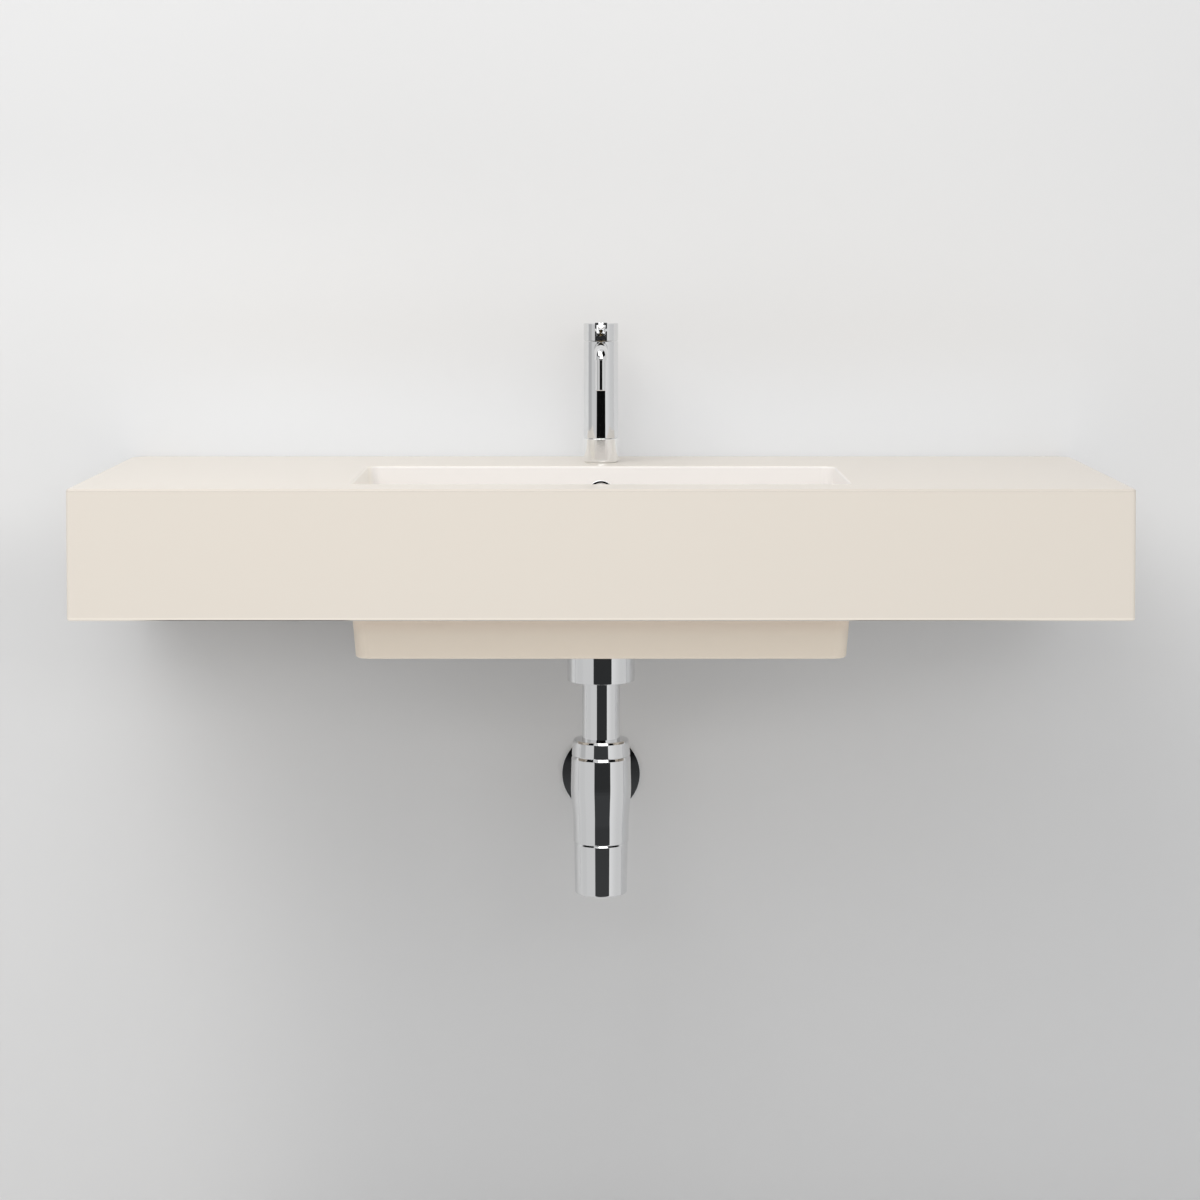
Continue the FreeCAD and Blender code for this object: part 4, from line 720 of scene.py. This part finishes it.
def add_hub(bm, count=96):
    """The hub across the slot, with a flat at its front that looks a little upwards."""
    flat_out = HUB_RADIUS * math.cos(HUB_FLAT)
    stations = [(-HUB_HALF + ahead, inset) for ahead, inset in HUB_END]
    stations += [(HUB_HALF - ahead, inset) for ahead, inset in reversed(HUB_END)]
    rows = []
    for x, inset in stations:
        ring = []
        for a in circle_of(count):
            off = (a - HUB_FLAT_UP + math.pi) % math.tau - math.pi
            r = HUB_RADIUS if abs(off) > HUB_FLAT else flat_out / math.cos(off)
            r -= inset
            ring.append(bm.verts.new((x, -r * math.cos(a), r * math.sin(a))))
        rows.append(ring)
    cap_ends(bm, rows, bridge(bm, rows))


bm = bmesh.new()
add_hub(bm)
add_lathe(
    bm,
    [(0, LEVER_ROOT), (LEVER_RADIUS, LEVER_ROOT), (LEVER_RADIUS, LEVER_TIP, 1.3), (0, LEVER_TIP)],
    count=72, turn=Matrix.Rotation(math.pi / 2 - LEVER_TILT, 4, "X"),
)
piece("fine_lever", bm, (0, TAP_Y, LEVER_Z), "lever_pin")

NOZZLE_RADIUS, NOZZLE_MOUTH, NOZZLE_DEEP = 6.9, 5.6, 8.8
NOZZLE_TAIL, NOZZLE_BORE = 5.9, 4.6
low, high = span("aerator_housing")
turned(
    "fine_nozzle",
    [
        (NOZZLE_MOUTH, low, 0.3), (NOZZLE_RADIUS, low, 1.0), (NOZZLE_RADIUS, DROP_Z, 0.3),
        (NOZZLE_TAIL, DROP_Z), (NOZZLE_TAIL, high), (NOZZLE_BORE, high),
        (NOZZLE_BORE, low + NOZZLE_DEEP), (NOZZLE_MOUTH, low + NOZZLE_DEEP),
    ],
    (0, TAP_Y - REACH, 0), "aerator_housing", closed=True, count=96,
)


# Studs and nuts

THREAD_END_BEVEL = 1.0
THREAD_DEEP = 0.6
BORE_BEVEL = 0.5
NUT_RIM = 0.985
NUT_BEVEL = math.tan(math.radians(30))


def add_thread(bm, radius, pitch, start, end, count=20, per=5):
    """A threaded rod along Z: a helical groove that fades out at both ends, with flat ends."""
    steps = round((end - start) / pitch * per)
    rows = [ring_of(bm, radius - THREAD_END_BEVEL, start, count)]
    for i in range(steps + 1):
        along = start + (end - start) * i / steps
        fade = min(1, (along - start) / pitch, (end - along) / pitch)
        ring = []
        for k, a in enumerate(circle_of(count)):
            turns = (along - start) / pitch - k / count
            groove = abs(2 * (turns % 1) - 1)
            r = radius - THREAD_DEEP * pitch * (1 - fade + fade * groove ** 1.3)
            ring.append(bm.verts.new((r * math.cos(a), r * math.sin(a), along)))
        rows.append(ring)
    rows.append(ring_of(bm, radius - THREAD_END_BEVEL, end, count))
    cap_ends(bm, rows, bridge(bm, rows))
    return points_of(rows)


def add_hex(bm, flat_radius, bore, start, end, per=12):
    """A hexagon nut along Z with the round chamfers of its corners and of its bore."""
    count = 6 * per
    rim = flat_radius * NUT_RIM
    outline = []
    for a in circle_of(count):
        side = a % (math.tau / 6) - math.tau / 12
        outline.append((a, flat_radius / math.cos(side)))
    rows = [ring_of(bm, bore, start + BORE_BEVEL, count), ring_of(bm, bore + BORE_BEVEL, start, count)]
    for face, inward in ((start, 1), (end, -1)):
        edge = ring_of(bm, rim, face, count)
        skirt = [
            bm.verts.new((r * math.cos(a), r * math.sin(a), face + inward * (r - rim) * NUT_BEVEL))
            for a, r in outline
        ]
        rows += [edge, skirt] if inward > 0 else [skirt, edge]
    rows += [ring_of(bm, bore + BORE_BEVEL, end, count), ring_of(bm, bore, end - BORE_BEVEL, count)]
    bridge(bm, rows, closed=True)
    return points_of(rows)


STUD_X = 140
STUD_PITCH = 1.5
STUD_NUT_BORE = 5.05
WASHER_BORE = 5.3
TAP_STUD_PITCH = 1.25
TAP_NUT_BORE = 4.05
SHARP_ON_NUTS = 20


def both_sides(name, node, add, **how):
    """A piece made twice along Y, one at each of the two wall studs."""
    low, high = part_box(node)
    bm = bmesh.new()
    for side in (-1, 1):
        verts = add(bm, high.z / MM, low.y / MM, high.y / MM)
        place = Matrix.Translation((side * STUD_X, 0, 0))
        bmesh.ops.transform(bm, matrix=place @ TO_WALL, verts=verts)
    piece(name, bm, (0, 0, 0), node, **how)


def stud(bm, radius, start, end):
    return add_thread(bm, radius, STUD_PITCH, start, end)


def stud_nut(bm, radius, start, end):
    return add_hex(bm, radius, STUD_NUT_BORE, start, end)


def stud_washer(bm, radius, start, end):
    return add_lathe(
        bm,
        [(WASHER_BORE, start, 0.3), (radius, start, 0.6), (radius, end, 0.3), (WASHER_BORE, end, 0.3)],
        closed=True, count=72,
    )


both_sides("fine_wall_studs", "wall_studs", stud)
both_sides("fine_stud_nuts", "stud_nuts", stud_nut, sharp=SHARP_ON_NUTS)
both_sides("fine_stud_washers", "stud_washers", stud_washer)

low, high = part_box("tap_stud")
AT_STUD = (0, (low.y + high.y) / 2 / MM, 0)
bm = bmesh.new()
add_thread(bm, (high.y - low.y) / 2 / MM, TAP_STUD_PITCH, low.z / MM, high.z / MM)
piece("fine_tap_stud", bm, AT_STUD, "tap_stud")
low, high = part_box("tap_nut")
bm = bmesh.new()
add_hex(bm, (high.y - low.y) / 2 / MM, TAP_NUT_BORE, low.z / MM, high.z / MM)
piece("fine_tap_nut", bm, AT_STUD, "tap_nut", sharp=SHARP_ON_NUTS)


# Room

def stage_finish(name, colour, mirrored=True):
    """A plain finish that is only there from its front, and where asked not in reflections."""
    mat, tree, main = shader(name, colour, 0.9)
    main.inputs["Specular IOR Level"].default_value = 0.1
    side = tree.nodes.new("ShaderNodeNewGeometry")
    clear = tree.nodes.new("ShaderNodeBsdfTransparent")
    mix = tree.nodes.new("ShaderNodeMixShader")
    out = tree.nodes["Material Output"]
    away = side.outputs["Backfacing"]
    if not mirrored:
        path = tree.nodes.new("ShaderNodeLightPath")
        away = calc(tree, "MAXIMUM", away, path.outputs["Is Glossy Ray"])
    tree.links.new(away, mix.inputs[0])
    tree.links.new(main.outputs[0], mix.inputs[1])
    tree.links.new(clear.outputs[0], mix.inputs[2])
    tree.links.new(mix.outputs[0], out.inputs["Surface"])
    return mat


PAINT = (0.745, 0.745, 0.745)
# Painted shade: the wall is a little darker towards the top, more so at the left
PAINT_SHADE_TOP_LEFT = (0.70, 0.70, 0.70)
PAINT_SHADE_TOP_RIGHT = (0.735, 0.735, 0.735)
# Painted light: a lighter, slightly bluish pool on the wall just over the deck
PAINT_LIGHT_OVER_DECK = (0.782, 0.798, 0.82)
# Painted shade: the wall darkens towards the floor, more at the left
PAINT_SHADE_LOW_LEFT = (0.638, 0.641, 0.645)
PAINT_SHADE_LOW_RIGHT = (0.665, 0.668, 0.672)
# Painted shadow of the slab on the wall below it
PAINT_SHADOW_UNDER_SLAB = (0.50, 0.50, 0.505)
# Painted light at the lower far left of the wall
PAINT_LIGHT_FAR_LEFT = (0.70, 0.70, 0.70)
# Where the painted light and shade of the wall change: the start and the end of each change, up or
# across
TOP_UP, TOP_ACROSS = (0.3, 0.52), (-0.45, 0.45)
DECK_UP, DECK_ASIDE = (0.27, 0.11), (0.8, 0.45)
LOW_UP, LOW_ACROSS = (0.04, -0.3), (-0.1, 0.35)
SLAB_FROM_ABOVE, SLAB_FROM_BELOW = (0.03, -0.09), (-0.23, -0.09)
# Here a third number says how much is left where the change starts
SLAB_ACROSS, SLAB_ASIDE = (0.4, -0.35, 0.3), (0.75, 0.5, 0.2)
FAR_LEFT_ACROSS = (-0.25, -0.62)


def wall_finish():
    """Pale paint with painted light and shade: painted shade that gets a little deeper towards the
    floor and to the right, darker at the top, a painted shadow under the slab, and painted light over
    the deck and at the far left.
    """
    mat = stage_finish("wall_paint", PAINT)
    tree = mat.node_tree
    x, _, z = own_place(tree)
    beside = calc(tree, "ABSOLUTE", x)
    # Painted shade towards the top of the wall
    top = blend_colours(tree, eased(tree, x, *TOP_ACROSS), PAINT_SHADE_TOP_LEFT, PAINT_SHADE_TOP_RIGHT)
    paint = blend_colours(tree, eased(tree, z, *TOP_UP), PAINT, top)
    # Painted light on the wall just over the deck
    painted_light_over_deck = product(tree, eased(tree, z, *DECK_UP), eased(tree, beside, *DECK_ASIDE))
    paint = blend_colours(tree, painted_light_over_deck, paint, PAINT_LIGHT_OVER_DECK)
    # Painted shade towards the floor
    down = eased(tree, z, *LOW_UP)
    painted_low_shade = blend_colours(tree, eased(tree, x, *LOW_ACROSS), PAINT_SHADE_LOW_LEFT, PAINT_SHADE_LOW_RIGHT)
    paint = blend_colours(tree, down, paint, painted_low_shade)
    # Painted shadow under the slab, deepest at the left, fading aside
    painted_shadow_under_slab = product(
        tree,
        eased(tree, z, *SLAB_FROM_ABOVE),
        eased(tree, z, *SLAB_FROM_BELOW),
        eased(tree, x, *SLAB_ACROSS),
        eased(tree, beside, *SLAB_ASIDE),
    )
    paint = blend_colours(tree, painted_shadow_under_slab, paint, PAINT_SHADOW_UNDER_SLAB)
    # Painted light on the lower wall at the far left
    painted_light_far_left = product(tree, eased(tree, x, *FAR_LEFT_ACROSS), down)
    paint = blend_colours(tree, painted_light_far_left, paint, PAINT_LIGHT_FAR_LEFT)
    tree.links.new(paint, tree.nodes["Principled BSDF"].inputs["Base Color"])
    return mat


def flat(name, outer, hole, place, mat):
    """A rectangle, with a rectangular hole in it where one is given."""
    bm = bmesh.new()
    x0, x1, y0, y1 = outer
    corners = [bm.verts.new((x, y, 0)) for x, y in ((x0, y0), (x1, y0), (x1, y1), (x0, y1))]
    if hole:
        a0, a1, b0, b1 = hole
        inner = [bm.verts.new((x, y, 0)) for x, y in ((a0, b0), (a1, b0), (a1, b1), (a0, b1))]
        for k in range(4):
            m = (k + 1) % 4
            bm.faces.new((corners[k], corners[m], inner[m], inner[k]))
    else:
        bm.faces.new(corners)
    mesh = bpy.data.meshes.new(name)
    bm.to_mesh(mesh)
    bm.free()
    mesh.transform(place)
    obj = bpy.data.objects.new(name, mesh)
    bpy.context.scene.collection.objects.link(obj)
    mesh.materials.append(mat)


FLOOR_Z = -0.93
CEILING_Z = 3.2
SPLIT_Z = -0.2
SIDE_X = 3.5
FRONT_Y = -1.5
BEHIND = 0.0006
# The holes in the wall behind the slab and behind the cover plate of the outlet
SLAB_HOLE = (-0.612, 0.612, -0.069, 0.0838)
PLATE_HOLE = (-0.034, 0.034, -0.375, -0.307)
upright = Matrix.Translation((0, BEHIND, 0)) @ Matrix.Rotation(math.pi / 2, 4, "X")
level_floor = Matrix.Translation((0, 0, FLOOR_Z))
wall_paint = wall_finish()
floor_paint = stage_finish("floor_paint", (0.80, 0.80, 0.80), mirrored=False)
flat("wall_above", (-SIDE_X, SIDE_X, SPLIT_Z, CEILING_Z), SLAB_HOLE, upright, wall_paint)
flat("wall_below", (-SIDE_X, SIDE_X, FLOOR_Z, SPLIT_Z), PLATE_HOLE, upright, wall_paint)
flat("floor", (-SIDE_X, SIDE_X, FRONT_Y, 0), None, level_floor, floor_paint)


# Light

def lamp(name, place, target, width, height, power):
    """A white area lamp that the camera doesn't see."""
    data = bpy.data.lights.new(name, "AREA")
    data.shape = "RECTANGLE"
    data.size, data.size_y = width, height
    data.energy = power
    obj = bpy.data.objects.new(name, data)
    obj.location = place
    obj.rotation_euler = (Vector(target) - Vector(place)).to_track_quat("-Z", "Y").to_euler()
    obj.visible_camera = False
    bpy.context.scene.collection.objects.link(obj)
    return obj


BLACK, WHITE = (0, 0, 0), (1, 1, 1)
# Angles in degrees. A pair is the start and the end of a change: up from level, or round from ahead
ROOM_LEVEL = 0.68
ROOM_RIGHT, RIGHT_ROUND, RIGHT_START = 0.16, (75, 32), (0, 1)
ROOM_LEFT, LEFT_MIDDLE, LEFT_HALF, LEFT_BELOW = 0.17, 77, (16, 8), 0.2
TURN_UP = (-7, -5)
FLOOR_UP, FLOOR_DEEPER, FLOOR_MIRRORED = (-35, -4), 0.08, 0.06
GAP_SWING = 5.5
GAP_HALF_UP, GAP_HALF_LOW, GAP_HALF_HIGH = (-6, -2.5), 31, 28.5
GAP_EDGE, GAP_TOP = (0.6, -0.6), (15, 12)
GAP_TONE = (0.94, 0.97, 1.0)
FLAG_FOOT, FLAG_TOP, FLAG_ASIDE = (19, 23), (62, 56), (30, 36)
# How bright the gap is: the start and the end of each change, and the two levels
DEEP_NEAR, DEEP_FAR = (-7.5, -5, 0.032, 0.004), (-15, -9, 0.02, 0)
DEEP_AHEAD, DEEP_AHEAD_TOP = (-2.5, -1.9, 0, 0.045), (2.5, 1.5)
SCREEN_FOOT, SCREEN_TOP = (19, 22), (47, 44)
SCREEN_LEFT, SCREEN_RIGHT = (-12, -9), (31, 28)
SCREEN_TONE = (2.6, 2.6, 2.55)
SEEN_TONE = (0.80, 0.80, 0.80)


def studio():
    """Pale all round, and for reflections a dark gap, dark flags and a bright screen in front."""
    world = bpy.data.worlds.new("room")
    bpy.context.scene.world = world
    world.use_nodes = True
    tree = world.node_tree
    where = tree.nodes.new("ShaderNodeTexCoord")
    parts = tree.nodes.new("ShaderNodeSeparateXYZ")
    tree.links.new(where.outputs["Generated"], parts.inputs[0])
    path = tree.nodes.new("ShaderNodeLightPath")
    mirrored = path.outputs["Is Glossy Ray"]
    forward = calc(tree, "MULTIPLY", parts.outputs["Y"], -1)
    azimuth = calc(tree, "ARCTAN2", parts.outputs["X"], forward)

    def by_height(start, end, low=0.0, high=1.0, soft=True):
        """Changes between two elevations in degrees."""
        start, end = math.sin(math.radians(start)), math.sin(math.radians(end))
        return ramp(tree, parts.outputs["Z"], start, end, low, high, soft)

    def by_angle(angle, start, end, low=0.0, high=1.0, soft=True):
        """Changes between two angles in degrees."""
        return ramp(tree, angle, math.radians(start), math.radians(end), low, high, soft)

    swing = by_height(*TURN_UP, math.radians(GAP_SWING), 0)
    aside = calc(tree, "ABSOLUTE", calc(tree, "SUBTRACT", azimuth, swing))
    half = (math.radians(GAP_HALF_LOW), math.radians(GAP_HALF_HIGH))
    half = by_height(*GAP_HALF_UP, *half, soft=False)
    gap = by_angle(calc(tree, "SUBTRACT", aside, half), *GAP_EDGE)
    gap = product(tree, gap, by_height(*GAP_TOP))
    flags = product(tree, by_height(*FLAG_FOOT), by_height(*FLAG_TOP), by_angle(aside, *FLAG_ASIDE))
    gap = calc(tree, "MULTIPLY", calc(tree, "MAXIMUM", gap, flags), mirrored)

    right = by_angle(azimuth, *RIGHT_ROUND, 0, ROOM_RIGHT)
    right = product(tree, right, by_angle(azimuth, *RIGHT_START, soft=False))
    left = calc(tree, "ABSOLUTE", calc(tree, "ADD", azimuth, math.radians(LEFT_MIDDLE)))
    left = product(tree, by_angle(left, *LEFT_HALF, 0, ROOM_LEFT), by_height(*TURN_UP, LEFT_BELOW, 1))
    level = calc(tree, "SUBTRACT", calc(tree, "ADD", right, ROOM_LEVEL), left)
    deeper = calc(tree, "SUBTRACT", calc(tree, "MULTIPLY", mirrored, FLOOR_MIRRORED), FLOOR_DEEPER)
    deeper = product(tree, by_height(*FLOOR_UP, 1, 0, soft=False), deeper)
    level = calc(tree, "MULTIPLY", level, calc(tree, "SUBTRACT", 1, deeper))
    pale = blend_colours(tree, level, BLACK, WHITE)

    deep = calc(tree, "ADD", by_height(*DEEP_NEAR, soft=False), by_height(*DEEP_FAR, soft=False))
    ahead = product(tree, by_height(*DEEP_AHEAD), by_height(*DEEP_AHEAD_TOP))
    dark = blend_colours(tree, calc(tree, "ADD", deep, ahead), BLACK, GAP_TONE)
    room = blend_colours(tree, gap, pale, dark)

    screen = product(
        tree,
        by_height(*SCREEN_FOOT), by_height(*SCREEN_TOP),
        by_angle(azimuth, *SCREEN_LEFT), by_angle(azimuth, *SCREEN_RIGHT),
        mirrored,
    )
    room = blend_colours(tree, screen, room, SCREEN_TONE)
    seen = blend_colours(tree, path.outputs["Is Camera Ray"], room, SEEN_TONE)
    tree.links.new(seen, tree.nodes["Background"].inputs["Color"])
    tree.nodes["Background"].inputs["Strength"].default_value = 1.0


studio()
lamp("key", (-1.1, -1.7, 2.4), (0, -0.2, 0), 2.6, 2.0, 43)
lamp("front", (0.15, -3.3, 0.82), (0, -0.3, 0), 2.8, 0.5, 12)
lamp("low", (0.1, -2.4, -0.8), (0, -0.45, -0.1), 2.4, 0.5, 1.3).visible_glossy = False


# Camera

PICTURE = 1200
LENS = 86.9
EYE_Y, EYE_Z = -3.860, 0.3885
CAMERA_DOWN = 2.2
SHIFT_RIGHT, SHIFT_UP = -1, -260

eye = bpy.data.cameras.new("camera")
camera = bpy.data.objects.new("camera", eye)
bpy.context.scene.collection.objects.link(camera)
bpy.context.scene.camera = camera
eye.sensor_width = 36
eye.lens = LENS
eye.clip_end = 50
camera.location = (0, EYE_Y, EYE_Z)
camera.rotation_euler = (math.radians(90 - CAMERA_DOWN), 0, 0)
eye.shift_x = SHIFT_RIGHT / PICTURE
eye.shift_y = SHIFT_UP / PICTURE

scene = bpy.context.scene
scene.view_settings.view_transform = "Standard"
